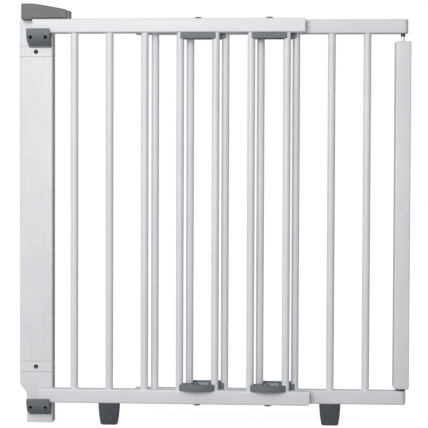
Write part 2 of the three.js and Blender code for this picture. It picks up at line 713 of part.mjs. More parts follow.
// A catch is a hook-shaped section whose trough holds the rail's end, with z = 0 at the underside
// of the rail. Its two screws are sunk deep into the sloping underside.
function catchHook() {
  const slopeEnd = CATCH_FLANGE_HEIGHT - CATCH_DROP;
  const section = polygon([
    [CATCH_BACK, -SEAT_GAP],
    [CATCH_BACK, -CATCH_DROP],
    [CATCH_BACK - CATCH_FLANGE_THICKNESS + CATCH_EDGE_CHAMFER, -CATCH_DROP],
    [CATCH_BACK - CATCH_FLANGE_THICKNESS, slopeEnd],
    [CATCH_LIP_FRONT, -CATCH_FACE_DROP],
    [CATCH_LIP_FRONT, CATCH_LIP_RISE - CATCH_LIP_CHAMFER],
    [CATCH_LIP_FRONT + CATCH_LIP_CHAMFER, CATCH_LIP_RISE],
    [CATCH_LIP_BACK - CATCH_EDGE_CHAMFER, CATCH_LIP_RISE],
    [CATCH_LIP_BACK, CATCH_LIP_RISE - CATCH_EDGE_CHAMFER],
    [CATCH_LIP_BACK, -SEAT_GAP],
  ]);
  const frontHalf = CATCH_WIDTH / 2;
  const backHalf = CATCH_BASE_WIDTH / 2;
  const plan = polygon([
    [-frontHalf + CATCH_SIDE_CHAMFER, CATCH_LIP_FRONT],
    [frontHalf - CATCH_SIDE_CHAMFER, CATCH_LIP_FRONT],
    [frontHalf, CATCH_LIP_FRONT + CATCH_SIDE_CHAMFER],
    [backHalf, CATCH_BACK],
    [-backHalf, CATCH_BACK],
    [-frontHalf, CATCH_LIP_FRONT + CATCH_SIDE_CHAMFER],
  ]);
  const sinkSpan = [CATCH_LIP_FRONT - 1, SCREW_HEAD_Y];
  const shankHole = SCREW_DIAMETER + 2 * SEAT_GAP;
  const sinks = [-0.5, 0.5].map((side) => side * CATCH_SCREW_SPACING).flatMap((x) => [
    rodAlongY(CATCH_SINK_DIAMETER, x, sinkSpan, -CATCH_SCREW_DROP),
    rodAlongY(shankHole, x, [SCREW_HEAD_Y - 1, 1], -CATCH_SCREW_DROP),
  ]);
  return cut(
    meet(
      fromSide(section, [-frontHalf, frontHalf]),
      fromPlan(plan, [-CATCH_DROP - 1, CATCH_LIP_RISE + 1]),
    ),
    ...sinks,
  );
}

// A pan-headed wood screw driven along Y.
function catchScrew() {
  const headFront = SCREW_HEAD_Y - SEAT_GAP - SCREW_HEAD_HEIGHT;
  const profile = [
    [0, headFront],
    [SCREW_HEAD_DIAMETER / 2 - SCREW_HEAD_ROUND, headFront],
    [SCREW_HEAD_DIAMETER / 2, headFront + SCREW_HEAD_ROUND],
    [SCREW_HEAD_DIAMETER / 2, headFront + SCREW_HEAD_HEIGHT],
    [SCREW_DIAMETER / 2, headFront + SCREW_HEAD_HEIGHT],
    [SCREW_DIAMETER / 2, SCREW_END_Y - SCREW_POINT],
    [0, SCREW_END_Y],
  ];
  return new THREE.LatheGeometry(profile.map(([r, y]) => new THREE.Vector2(r, y)), SMALL_SIDES);
}

function catches() {
  const hook = geometryOf(catchHook());
  const screw = geometryOf(solid(catchScrew()));
  for (const [level, z] of Object.entries(CATCH_LEVELS)) {
    piece(`${level}_catch`, hook, 'greyPlastic', [CATCH_MIDDLE_X, 0, z]);
    CATCH_SCREW_XS.forEach((x, index) => {
      const side = index === 0 ? 'left' : 'right';
      piece(`${level}_catch_${side}_screw`, screw, 'steel', [x, 0, z - CATCH_SCREW_DROP]);
    });
  }
}

// ---------------------------------------------------------------- latch
//
// The latch is drawn from its left end: along(n) is n millimetres right of that end.

const LATCH_LEFT = FIRST_FRONT_BAR_X - TOP_RAIL_LATCH_END - LATCH_OVERHANG;
const along = (distance) => LATCH_LEFT + distance;
const LATCH_FRONT = -FACE_Y;
const LATCH_BACK = -FRAME_GAP / 2 - SEAT_GAP;
const BASE_BOTTOM = GATE_HEIGHT + SEAT_GAP;
const BASE_TOP = BASE_BOTTOM + LATCH_BASE_THICKNESS;
const SLIDER_Y = (LATCH_FRONT + LATCH_BACK) / 2;
const SLIDER_BOTTOM = BASE_TOP + SEAT_GAP;
const TONGUE_TOP = SLIDER_BOTTOM + TONGUE_THICKNESS;
const SLIDER_LEFT = LATCH_WALL + SEAT_GAP + SPRING_LENGTH + SEAT_GAP;
const SLIDER_RIGHT = LATCH_LENGTH + TIP_OUT - TIP_LENGTH;

function latchScrewHole() {
  return rod(SCREW_DIAMETER + 2 * SEAT_GAP, along(LATCH_SCREW_PLACE), SLIDER_Y, [
    GATE_HEIGHT - LATCH_SCREW_DEPTH - SEAT_GAP,
    GATE_HEIGHT + 1,
  ]);
}

function latchBase() {
  const inset = LATCH_WALL + SEAT_GAP;
  const xSpan = [along(inset), along(SLIDER_RIGHT - LATCH_STROKE - 1)];
  const ySpan = [LATCH_FRONT + inset, LATCH_BACK - inset];
  return cut(
    fromPlan(roundedRectangle(xSpan, ySpan, Array(4).fill(LATCH_BASE_CORNER)), [BASE_BOTTOM, BASE_TOP]),
    rod(SCREW_DIAMETER + 2 * SEAT_GAP, along(LATCH_SCREW_PLACE), SLIDER_Y, [BASE_BOTTOM - 1, BASE_TOP + 1]),
    rod(SCREW_HEAD_DIAMETER + 2 * SEAT_GAP, along(LATCH_SCREW_PLACE), SLIDER_Y, [
      BASE_TOP - LATCH_SCREW_HEAD - SEAT_GAP,
      BASE_TOP + 1,
    ]),
  );
}

// The screw that holds the latch base on the rail, with its head sunk into the base.
function latchScrew() {
  const headTop = BASE_TOP - SEAT_GAP;
  const headBottom = headTop - LATCH_SCREW_HEAD + SEAT_GAP;
  return join(
    rod(SCREW_HEAD_DIAMETER, along(LATCH_SCREW_PLACE), SLIDER_Y, [headBottom, headTop]),
    rod(SCREW_DIAMETER, along(LATCH_SCREW_PLACE), SLIDER_Y, [
      GATE_HEIGHT - LATCH_SCREW_DEPTH,
      headBottom + SEAT_GAP,
    ]),
  );
}

// Front outline of the cover: high at the latch end, and falling in a curve to the release tip.
function coverOutline(inset, bottom) {
  const left = along(inset);
  const right = along(LATCH_LENGTH) + (inset > 0 ? 1 : 0);
  const top = GATE_HEIGHT + LATCH_RISE - inset;
  const endTop = GATE_HEIGHT + LATCH_END_RISE - inset;
  const knee = [along(COVER_CURVE_KNEE * LATCH_LENGTH), top - COVER_KNEE_DROP];
  const start = [along(COVER_CURVE_START * LATCH_LENGTH), top];
  const shape = new THREE.Shape();
  shape.moveTo(left, bottom);
  shape.lineTo(right, bottom);
  shape.lineTo(right, endTop);
  shape.quadraticCurveTo(...knee, ...start);
  shape.lineTo(left + COVER_CORNER, top);
  shape.quadraticCurveTo(left, top, left, top - COVER_CORNER);
  return shape;
}

// The cover is an open-bottomed shell with a window at the back for the tongue and an open end
// for the release tip.
function latchCover() {
  const bottom = GATE_HEIGHT + LATCH_SEAM;
  const outer = fromFront(coverOutline(0, bottom), [LATCH_FRONT, LATCH_BACK], CURVE_STEPS);
  const inner = fromFront(
    coverOutline(LATCH_WALL, bottom - 1),
    [LATCH_FRONT + LATCH_WALL, LATCH_BACK - LATCH_WALL],
    CURVE_STEPS,
  );
  const windowSpan = [
    along(TONGUE_PLACE - LATCH_STROKE - WINDOW_SLACK),
    along(TONGUE_PLACE + TONGUE_LENGTH + WINDOW_SLACK),
  ];
  return cut(
    outer,
    inner,
    block(windowSpan, [LATCH_BACK - LATCH_WALL - 1, LATCH_BACK + 1], [bottom - 1, TONGUE_TOP + WINDOW_SLACK]),
  );
}

// The bolt slides along the base. Its tongue reaches back over the board, under the keeper.
function latchBolt() {
  const ySpan = [SLIDER_Y - SLIDER_DEPTH / 2, SLIDER_Y + SLIDER_DEPTH / 2];
  return join(
    block([along(SLIDER_LEFT), along(SLIDER_RIGHT)], ySpan, [SLIDER_BOTTOM, SLIDER_BOTTOM + SLIDER_HEIGHT]),
    block(
      [along(TONGUE_PLACE), along(TONGUE_PLACE + TONGUE_LENGTH)],
      [SLIDER_Y, BOARD_FRONT + TONGUE_REACH],
      [SLIDER_BOTTOM, TONGUE_TOP],
    ),
  );
}

function releaseTip() {
  const ySpan = [SLIDER_Y - TIP_DEPTH / 2, SLIDER_Y + TIP_DEPTH / 2];
  const zSpan = [GATE_HEIGHT + 2 * SEAT_GAP, GATE_HEIGHT + LATCH_END_RISE - LATCH_WALL - SEAT_GAP];
  const xSpan = [along(SLIDER_RIGHT + SEAT_GAP), along(LATCH_LENGTH + TIP_OUT)];
  const frontRadii = [TIP_INNER_EDGE, TIP_LOW_EDGE, TIP_TOP_EDGE, TIP_INNER_EDGE];
  const planRadii = [TIP_INNER_EDGE, TIP_SIDE_EDGE, TIP_SIDE_EDGE, TIP_INNER_EDGE];
  return meet(
    fromFront(roundedRectangle(xSpan, zSpan, frontRadii), ySpan),
    fromPlan(roundedRectangle(xSpan, ySpan, planRadii), zSpan),
  );
}

// A compression spring between the cover's end wall and the bolt.
function latchSpring() {
  const radius = (SPRING_DIAMETER - SPRING_WIRE) / 2;
  const free = SPRING_LENGTH - 2 * SEAT_GAP - SPRING_WIRE;
  const start = along(LATCH_WALL + 2 * SEAT_GAP + SPRING_WIRE / 2);
  const middleZ = SLIDER_BOTTOM + SLIDER_HEIGHT / 2 + SEAT_GAP;
  const points = Array.from({ length: SPRING_TURNS * SPRING_STEPS_PER_TURN + 1 }, (_, i) => {
    const turn = i / SPRING_STEPS_PER_TURN;
    const angle = 2 * Math.PI * turn;
    const x = start + (free * turn) / SPRING_TURNS;
    return new THREE.Vector3(x, SLIDER_Y + radius * Math.cos(angle), middleZ + radius * Math.sin(angle));
  });
  const wire = new THREE.Shape();
  wire.absarc(0, 0, SPRING_WIRE / 2, 0, 2 * Math.PI);
  const geometry = new THREE.ExtrudeGeometry(wire, {
    steps: points.length - 1,
    curveSegments: WIRE_STEPS,
    extrudePath: new THREE.CatmullRomCurve3(points),
  });
  return solid(geometry);
}

const KEEPER_RIGHT = TONGUE_PLACE + TONGUE_LENGTH + KEEPER_SIDE_GAP + KEEPER_METAL;
const KEEPER_FRONT = BOARD_FRONT + KEEPER_SETBACK;
const KEEPER_SCREW_X = along(KEEPER_RIGHT + (KEEPER_LENGTH - KEEPER_METAL) / 2);

// The keeper is a strip of metal on top of the board, bent up and then back over the tongue.
function keeper() {
  const bottom = GATE_HEIGHT + SEAT_GAP;
  const right = along(KEEPER_RIGHT + KEEPER_LENGTH - KEEPER_METAL);
  const bend = along(KEEPER_RIGHT - KEEPER_METAL);
  const lipLeft = along(TONGUE_PLACE + TONGUE_LENGTH - KEEPER_COVER);
  const lipBottom = TONGUE_TOP + KEEPER_LIFT;
  const outline = polygon([
    [bend, bottom],
    [right, bottom],
    [right, bottom + KEEPER_METAL],
    [bend + KEEPER_METAL, bottom + KEEPER_METAL],
    [bend + KEEPER_METAL, lipBottom + KEEPER_METAL],
    [lipLeft, lipBottom + KEEPER_METAL],
    [lipLeft, lipBottom],
    [bend, lipBottom],
  ]);
  const holeSpan = [bottom - 1, bottom + KEEPER_METAL + 1];
  return cut(
    fromFront(outline, [KEEPER_FRONT, KEEPER_FRONT + KEEPER_DEPTH]),
    rod(SCREW_DIAMETER + 2 * SEAT_GAP, KEEPER_SCREW_X, KEEPER_FRONT + KEEPER_DEPTH / 2, holeSpan),
  );
}

function keeperScrewHole() {
  return rod(SCREW_DIAMETER + 2 * SEAT_GAP, KEEPER_SCREW_X, KEEPER_FRONT + KEEPER_DEPTH / 2, [
    GATE_HEIGHT - LATCH_SCREW_DEPTH - SEAT_GAP,
    GATE_HEIGHT + 1,
  ]);
}

function keeperScrew() {
  const y = KEEPER_FRONT + KEEPER_DEPTH / 2;
  const seat = GATE_HEIGHT + KEEPER_METAL + 2 * SEAT_GAP;
  return join(
    rod(SCREW_HEAD_DIAMETER, KEEPER_SCREW_X, y, [seat, seat + SCREW_HEAD_HEIGHT]),
    rod(SCREW_DIAMETER, KEEPER_SCREW_X, y, [GATE_HEIGHT - LATCH_SCREW_DEPTH, seat + 0.5]),
  );
}

function latch() {
  piece('latch_base', latchBase(), 'darkPlastic');
  piece('latch_cover', latchCover(), 'greyPlastic');
  piece('latch_bolt', latchBolt(), 'darkPlastic');
  piece('release_tip', releaseTip(), 'tipPlastic');
  piece('latch_spring', latchSpring(), 'steel');
  piece('latch_screw', latchScrew(), 'steel');
  piece('keeper_plate', keeper(), 'zincPlate');
  piece('keeper_screw', keeperScrew(), 'steel');
}

// ---------------------------------------------------------------- hinge

const POST_BOTTOM = BOTTOM_RAIL_TOP + POST_BOTTOM_GAP;
const POST_TOP = TOP_RAIL_BOTTOM - POST_TOP_GAP;

// The post hangs on two studs in the wall, which go into blind holes in its wall face.
function hingePost() {
  const xSpan = [PIN_X - POST_WIDTH / 2, PIN_X + POST_WIDTH / 2];
  const ySpan = [BAR_Y - POST_DEPTH / 2, BAR_Y + POST_DEPTH / 2];
  const zSpan = [POST_BOTTOM, POST_TOP];
  const edges = Array(4).fill(POST_EDGE);
  const pinHole = PIN_DIAMETER + 2 * SEAT_GAP;
  const wallHoles = [POST_BOTTOM + POST_HOLE_MARGIN, POST_TOP - POST_HOLE_MARGIN].map(
    (z) => rodAlongX(POST_HOLE_DIAMETER, [xSpan[1] - POST_HOLE_DEPTH, xSpan[1] + 1], BAR_Y, z),
  );
  return cut(
    meet(
      fromPlan(roundedRectangle(xSpan, ySpan, edges), zSpan),
      fromFront(roundedRectangle(xSpan, zSpan, edges), ySpan),
    ),
    rod(pinHole, PIN_X, BAR_Y, [POST_TOP - PIN_SEAT - SEAT_GAP, POST_TOP + 1]),
    rod(pinHole, PIN_X, BAR_Y, [POST_BOTTOM - 1, POST_BOTTOM + PIN_SEAT + SEAT_GAP]),
    ...wallHoles,
  );
}

// A flat ring round the hinge pin.
function pinRing(diameter, zSpan) {
  return cut(
    rod(diameter, PIN_X, BAR_Y, zSpan, BAR_SIDES),
    rod(PIN_DIAMETER + 2 * SEAT_GAP, PIN_X, BAR_Y, [zSpan[0] - 1, zSpan[1] + 1]),
  );
}

function hinge() {
  const sleeveTop = TOP_RAIL_BOTTOM - SEAT_GAP;
  const washerSpan = [BOTTOM_RAIL_TOP + SEAT_GAP, POST_BOTTOM - SEAT_GAP];
  piece('hinge_post', hingePost(), 'whitePaint');
  piece(
    'top_hinge_pin',
    rod(PIN_DIAMETER, PIN_X, BAR_Y, [POST_TOP - PIN_SEAT, TOP_RAIL_BOTTOM + PIN_SEAT]),
    'steel',
  );
  piece(
    'bottom_hinge_pin',
    rod(PIN_DIAMETER, PIN_X, BAR_Y, [BOTTOM_RAIL_TOP - PIN_SEAT, POST_BOTTOM + PIN_SEAT]),
    'steel',
  );
  piece('top_hinge_sleeve', pinRing(SLEEVE_DIAMETER, [sleeveTop - SLEEVE_HEIGHT, sleeveTop]), 'darkPlastic');
  piece('bottom_hinge_washer', pinRing(WASHER_DIAMETER, washerSpan), 'darkPlastic');
}

frames();
bars();
feet();
connectors();
latchBoard();
catches();
latch();
hinge();

export default gate;
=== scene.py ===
# %% [markdown]
# # An extending safety gate
# A wooden gate for a stairway: two frames of painted round bars lie side by side, and slotted
# connectors clamp them at the width of the opening. The joints and the exact places of all
# pieces come with the frame that is loaded here. This lesson gives each piece the surface that
# a maker would see: softened edges, turned bolts, moulded plastic and brushed-on paint.

# %% Load the frame
import json
import math

import bmesh
import bpy
import numpy as np
from mathutils import Matrix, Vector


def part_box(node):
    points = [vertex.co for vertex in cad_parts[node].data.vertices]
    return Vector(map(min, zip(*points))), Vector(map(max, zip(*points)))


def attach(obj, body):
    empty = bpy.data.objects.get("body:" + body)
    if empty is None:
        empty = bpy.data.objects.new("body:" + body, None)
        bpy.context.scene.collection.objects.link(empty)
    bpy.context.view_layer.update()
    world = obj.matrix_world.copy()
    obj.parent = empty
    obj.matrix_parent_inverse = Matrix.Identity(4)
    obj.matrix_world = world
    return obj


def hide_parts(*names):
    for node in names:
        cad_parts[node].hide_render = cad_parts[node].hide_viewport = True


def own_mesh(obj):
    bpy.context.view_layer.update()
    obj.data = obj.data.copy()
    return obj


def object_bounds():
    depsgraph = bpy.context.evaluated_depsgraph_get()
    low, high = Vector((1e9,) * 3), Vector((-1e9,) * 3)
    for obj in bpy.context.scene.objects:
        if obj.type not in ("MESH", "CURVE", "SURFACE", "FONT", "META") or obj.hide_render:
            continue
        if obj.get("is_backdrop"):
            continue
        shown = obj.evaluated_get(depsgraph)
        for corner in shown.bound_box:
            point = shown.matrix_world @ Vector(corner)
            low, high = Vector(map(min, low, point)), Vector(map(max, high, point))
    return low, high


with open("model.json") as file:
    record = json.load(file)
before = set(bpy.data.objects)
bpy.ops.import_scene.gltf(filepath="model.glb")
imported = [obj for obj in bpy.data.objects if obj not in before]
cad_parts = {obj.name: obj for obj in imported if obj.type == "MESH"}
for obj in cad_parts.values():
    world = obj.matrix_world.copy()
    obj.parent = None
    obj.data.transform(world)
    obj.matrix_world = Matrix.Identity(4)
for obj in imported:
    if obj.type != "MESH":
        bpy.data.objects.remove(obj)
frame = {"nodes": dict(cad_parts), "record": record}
cad_box = [list(corner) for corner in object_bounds()]
record = frame["record"]
MM = 0.001
print("CAD box in metres:", cad_box)

# %% [markdown]
# ## Camera
# The gate is seen from a little above its middle and from just right of its centre. A long
# lens, 2.2 m in front of the bars, keeps their upright lines nearly parallel.

# %% Set the camera
FOCAL_LENGTH, SENSOR_WIDTH, FAR_LIMIT = 90.68, 36, 60
CAMERA_PLACE = (0.1062, -2.1665, 0.4771)
TURN_TO_LEFT, TILT_DOWN, ROLL = 2.757, 1.332, 0.21

camera = bpy.data.objects.new("camera", bpy.data.cameras.new("camera"))
camera.data.lens = FOCAL_LENGTH
camera.data.sensor_width, camera.data.clip_end = SENSOR_WIDTH, FAR_LIMIT
turned = Matrix.Rotation(math.radians(TURN_TO_LEFT), 4, "Z")
tilted = Matrix.Rotation(math.radians(90 - TILT_DOWN), 4, "X")
rolled = Matrix.Rotation(math.radians(ROLL), 4, "Z")
camera.matrix_world = Matrix.Translation(CAMERA_PLACE) @ turned @ tilted @ rolled
bpy.context.scene.collection.objects.link(camera)
bpy.context.scene.camera = camera
bpy.context.scene.view_settings.view_transform = "Standard"
print("camera at", CAMERA_PLACE)

# %% [markdown]
# ## Surfaces as arrays
# Most pieces here are rounded bars, boards and mouldings. Each is a stack of rings: a ring is
# a closed outline with the same number of points as its neighbours, so quads can join them.
# Working on whole arrays keeps the shape in a formula, where it can be read and changed. All
# sizes below are in millimetres, and the mesh is made in metres at the last moment.


# %% Rounding formulas
def steps_round(radius, steps=5):
    """Distances from an end where a quarter circle has turned by equal angles: r (1 - cos t)."""
    return radius * (1 - np.cos(np.linspace(0, np.pi / 2, steps + 1)))


def draw_back(distance, radius):
    """How far a rounded end draws a face back at a distance from it: r - sqrt(r² - (r - d)²)."""
    inside = np.clip(radius - distance, 0, radius)
    return radius - np.sqrt(np.maximum(radius**2 - inside**2, 0))


def rounded_rings(a0, a1, b0, b1, radius, steps=5):
    """Rounded rectangles, one for each row of limits. Each corner is a quarter circle about a
    centre that lies one radius inside both limits."""
    a0, a1, b0, b1, radius = np.broadcast_arrays(a0, a1, b0, b1, radius)
    a0, a1, b0, b1, radius = (np.array(v, float)[:, None] for v in (a0, a1, b0, b1, radius))
    radius = np.minimum(radius, np.minimum(a1 - a0, b1 - b0) / 2 - 0.01)
    quarter = np.arange(4)[:, None] * np.pi / 2
    angle = (np.linspace(0, np.pi / 2, steps + 1) + quarter).ravel()
    right = np.repeat([True, False, False, True], steps + 1)
    top = np.repeat([True, True, False, False], steps + 1)
    a = np.where(right, a1 - radius, a0 + radius) + radius * np.cos(angle)
    b = np.where(top, b1 - radius, b0 + radius) + radius * np.sin(angle)
    return a, b


def soft_corners(points, cuts, steps=5):
    """A polygon with rounded corners. A corner p becomes the curve (1-t)² s + 2t(1-t) p + t² e
    from a point s before it to a point e after it."""
    p = np.asarray(points, float)
    cuts = np.broadcast_to(np.asarray(cuts, float), len(p))[:, None]
    before, after = np.roll(p, 1, axis=0) - p, np.roll(p, -1, axis=0) - p
    s = p + cuts * before / np.linalg.norm(before, axis=1, keepdims=True)
    e = p + cuts * after / np.linalg.norm(after, axis=1, keepdims=True)
    t = np.linspace(0, 1, steps + 1)[:, None, None]
    curve = (1 - t) ** 2 * s + 2 * t * (1 - t) * p + t**2 * e
    return curve.transpose(1, 0, 2).reshape(-1, 2)


def inward(outline):
    """For each point of an anticlockwise outline, the step that draws both of its sides in by
    one millimetre: the sum of the two sides' normals over one plus their cosine."""
    side = np.roll(outline, -1, axis=0) - outline
    side /= np.maximum(np.linalg.norm(side, axis=1, keepdims=True), 1e-9)
    normal = np.stack([-side[:, 1], side[:, 0]], axis=1)
    other = np.roll(normal, 1, axis=0)
    cosine = np.sum(normal * other, axis=1, keepdims=True)
    return (normal + other) / np.maximum(1 + cosine, 0.35)


def signed_area(outline):
    """Half the sum of the cross products of neighbours: positive if anticlockwise."""
    after = np.roll(outline, -1, axis=0)
    return 0.5 * np.sum(outline[:, 0] * after[:, 1] - outline[:, 1] * after[:, 0])


PLANES = {"xy": (0, 1, 2), "xz": (0, 2, 1), "yz": (1, 2, 0)}
ACROSS = {"x": "yz", "y": "xz", "z": "xy"}


def rectangle(first, second):
    """Four corners from the limits along two axes, anticlockwise."""
    (a, b), (c, d) = first, second
    return [(a, c), (b, c), (b, d), (a, d)]


def slab(outline, plane, span, edge=0.0, steps=4):
    """An outline carried along the third axis. Near both ends it draws in by a quarter circle,
    which rounds the two edges."""
    outline = np.asarray(outline, float)
    if signed_area(outline) < 0:
        outline = outline[::-1]
    reach = steps_round(edge, steps) if edge > 0 else np.zeros(1)
    inset = draw_back(reach, edge) if edge > 0 else reach
    place = np.concatenate([span[0] + reach, span[1] - reach[::-1]])
    inset = np.concatenate([inset, inset[::-1]])
    flat = outline[None] + inset[:, None, None] * inward(outline)[None]
    return in_plane(flat[..., 0], flat[..., 1], place, plane)


def in_plane(first, second, third, plane):
    """Rings from two coordinates in a plane and the place of each row along the third axis."""
    axes = PLANES[plane]
    rings = np.empty((*first.shape, 3))
    rings[..., axes[0]] = first
    rings[..., axes[1]] = second
    rings[..., axes[2]] = np.asarray(third)[:, None]
    return rings


def turned_rings(radius, height, centre, axis="z", sides=40):
    """A turned piece: each row of radius and height becomes a circle about the axis through
    centre."""
    angle = np.arange(sides) * 2 * np.pi / sides
    radius, height = np.asarray(radius, float)[:, None], np.asarray(height, float)
    round_x, round_y = radius * np.cos(angle), radius * np.sin(angle)
    plane = ACROSS[axis]
    first, second = PLANES[plane][:2]
    return in_plane(centre[first] + round_x, centre[second] + round_y, height, plane)


print("a 3 mm edge draws back by", np.round(draw_back(np.array([0, 1, 2, 3]), 3), 2))

# %% [markdown]
# ## From rings to a finished piece
# A skin closes its first and last rings with one flat face each, or, for a washer, joins the
# last ring to the first. Holes and pockets are cut with the exact boolean, and a narrow bevel
# then softens every edge that is left, as a mould or a sanding block does. Each piece stands
# for the node of the same name, so its body is read from the record.


# %% Make, cut and finish meshes
def skin(rings, closed=False):
    """Points and faces over rings: quads between neighbouring rings, and a flat face on the
    first and the last ring, unless the rows themselves close."""
    rows, around = rings.shape[:2]
    index = np.arange(rows * around).reshape(rows, around)
    beside = np.roll(index, -1, axis=1)
    above, above_beside = np.roll(index, -1, axis=0), np.roll(beside, -1, axis=0)
    quads = np.stack([index, beside, above_beside, above], axis=-1)
    if not closed:
        quads = quads[:-1]
    faces = quads.reshape(-1, 4).tolist()
    caps = [] if closed else [index[0][::-1].tolist(), index[-1].tolist()]
    return rings.reshape(-1, 3) * MM, faces + caps


def rod(radius, span, centre, axis="z", sides=28):
    """A plain round rod, as a cutter or a stud."""
    return skin(turned_rings([radius, radius], span, centre, axis, sides))


def box_skin(x, y, z):
    """A plain block, as a cutter."""
    return skin(slab(rectangle(x, y), "xy", z))


def mesh_object(name, *skins, sharp=38):
    """One object from one or more skins, with its faces pointing outwards, smooth over every
    edge that turns by less than an angle."""
    bm = bmesh.new()
    for points, faces in skins:
        mesh = bpy.data.meshes.new("part")
        mesh.from_pydata(points.tolist(), [], faces)
        part = bmesh.new()
        part.from_mesh(mesh)
        bmesh.ops.remove_doubles(part, verts=part.verts, dist=2e-7)
        if part.calc_volume(signed=True) < 0:
            bmesh.ops.reverse_faces(part, faces=part.faces)
        part.to_mesh(mesh)
        part.free()
        bm.from_mesh(mesh)
        bpy.data.meshes.remove(mesh)
    whole = bpy.data.meshes.new(name)
    bm.to_mesh(whole)
    bm.free()
    whole.shade_smooth()
    whole.set_sharp_from_angle(angle=math.radians(sharp))
    made = bpy.data.objects.new(name, whole)
    bpy.context.scene.collection.objects.link(made)
    return made


def carve(piece, *cutters, operation="DIFFERENCE"):
    """Takes cutters out of a piece, or joins them to it, with the exact boolean, and keeps only
    the resulting mesh."""
    tools = [mesh_object("cutter", tool) for tool in cutters]
    for tool in tools:
        change = piece.modifiers.new("cut", "BOOLEAN")
        change.object, change.operation, change.solver = tool, operation, "EXACT"
    return settle(piece, tools)


def settle(piece, tools=()):
    """Applies the modifiers of a piece and clears away the objects that they used."""
    depsgraph = bpy.context.evaluated_depsgraph_get()
    mesh = bpy.data.meshes.new_from_object(piece.evaluated_get(depsgraph))
    piece.modifiers.clear()
    piece.data = mesh
    for tool in tools:
        bpy.data.objects.remove(tool)
    return piece


def soften(piece, width, segments=2, angle=40):
    """A narrow bevel on every edge that turns by more than an angle."""
    bevel = piece.modifiers.new("softened edges", "BEVEL")
    bevel.width, bevel.segments = width * MM, segments
    bevel.limit_method, bevel.angle_limit = "ANGLE", math.radians(angle)
    bevel.use_clamp_overlap, bevel.harden_normals = True, True
    piece.data.shade_smooth()
    return settle(piece)


body_of = {node: body for body, nodes in record["behaviour"]["bodies"].items() for node in nodes}
finished = []


def finish_piece(piece, node, material):
    """Names a piece after the node that it stands for, paints it and lets it ride along."""
    piece.name = "finished_" + node
    piece.data.name = piece.name
    if not piece.data.materials:
        piece.data.materials.append(material)
    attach(piece, body_of[node])
    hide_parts(node)
    finished.append(piece)
    return piece


def limits(node):
    """The lowest and highest corners of a node, in millimetres."""
    low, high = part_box(node)
    return np.array(low) / MM, np.array(high) / MM


def middle(node):
    """The centre of a node's box, in millimetres."""
    low, high = limits(node)
    return (low + high) / 2


# %% [markdown]
# ## Finishes
# Four kinds of surface make up the gate: satin paint brushed on planed wood, textured moulded
# plastic, blue zinc plating and plain steel. What several finishes share is a node group: the
# marks of brush and grain, the skin of a mould, the rubbed edge. A group only puts out values
# that change over the surface. The shader itself stays in each material.


# %% Node helpers
def add_node(tree, kind, inputs=None, **settings):
    """Adds a node, sets its properties, and fills or links its inputs by name or number."""
    node = tree.nodes.new(kind)
    for name, value in settings.items():
        setattr(node, name, value)
    for name, value in (inputs or {}).items():
        if isinstance(value, bpy.types.NodeSocket):
            tree.links.new(value, node.inputs[name])
        else:
            node.inputs[name].default_value = value
    return node


def new_group(name, inputs, outputs):
    """An empty node group with named sockets. Returns the tree, its input and its output node."""
    tree = bpy.data.node_groups.new(name, "ShaderNodeTree")
    for socket, kind, value in inputs:
        made = tree.interface.new_socket(socket, in_out="INPUT", socket_type=kind)
        if value is not None:
            made.default_value = value
    for socket in outputs:
        tree.interface.new_socket(socket, in_out="OUTPUT", socket_type="NodeSocketFloat")
    return tree, tree.nodes.new("NodeGroupInput"), tree.nodes.new("NodeGroupOutput")


def stretched_noise(tree, vector, stretch, detail, roughness=0.5):
    """Noise whose cells are stretched: stretch is cells per metre along x, y and z."""
    scaled = add_node(tree, "ShaderNodeVectorMath", {0: vector, 1: stretch}, operation="MULTIPLY")
    settings = {"Vector": scaled.outputs[0], "Scale": 1, "Detail": detail, "Roughness": roughness}
    return add_node(tree, "ShaderNodeTexNoise", settings).outputs["Fac"]


def spread(tree, value, low, high, to_low=0.0, to_high=1.0):
    """Stretches the part of a value between two limits to another range."""
    settings = {0: value, 1: low, 2: high, 3: to_low, 4: to_high}
    return add_node(tree, "ShaderNodeMapRange", settings).outputs[0]


def combine(tree, operation, first, second):
    """One sum on two values."""
    return add_node(tree, "ShaderNodeMath", {0: first, 1: second}, operation=operation).outputs[0]


# %% [markdown]
# ### Shared effects
# Paint on planed wood keeps long shallow ridges from the grain and the brush, and a finer
# orange-peel film. Moulded plastic copies the fine pits of its mould and has a slow change of
# tone. Edges are found with pointiness, which is high where a surface turns outwards.

# %% Build the shared groups
POSITION = [("Position", "NodeSocketVector", None)]



def noise_group(name, patterns):
    """A group of stretched noises. A row is an output's name, its stretch, detail and roughness,
    and the low end of the middle part that is spread over 0 to 1."""
    tree, group_in, group_out = new_group(name, POSITION, [row[0] for row in patterns])
    for output, stretch, detail, roughness, low in patterns:
        noise = stretched_noise(tree, group_in.outputs["Position"], stretch, detail, roughness)
        tree.links.new(spread(tree, noise, low, 1 - low), group_out.inputs[output])
    return tree


painted_wood = noise_group("painted wood", [
    ("Ridges", (9, 620, 620), 3, 0.6, 0.3),
    ("Film", (420, 520, 520), 2, 0.5, 0.3),
    ("Patches", (7, 22, 22), 2, 0.5, 0.35),
])
mould_skin = noise_group("mould skin", [
    ("Pits", (1900, 1900, 1900), 2, 0.5, 0.3),
    ("Mottle", (150, 150, 150), 3, 0.5, 0.3),
    ("Flow", (38, 60, 24), 2, 0.5, 0.3),
])

rubbed_edge, group_in, group_out = new_group("rubbed edge", POSITION, ["Edge"])
bend = add_node(rubbed_edge, "ShaderNodeNewGeometry").outputs["Pointiness"]
uneven = stretched_noise(rubbed_edge, group_in.outputs["Position"], (90, 90, 90), 3, 0.6)
turned_out, broken = spread(rubbed_edge, bend, 0.51, 0.6), spread(rubbed_edge, uneven, 0.35, 0.7)
edge = combine(rubbed_edge, "MULTIPLY", turned_out, broken)
rubbed_edge.links.new(edge, group_out.inputs["Edge"])

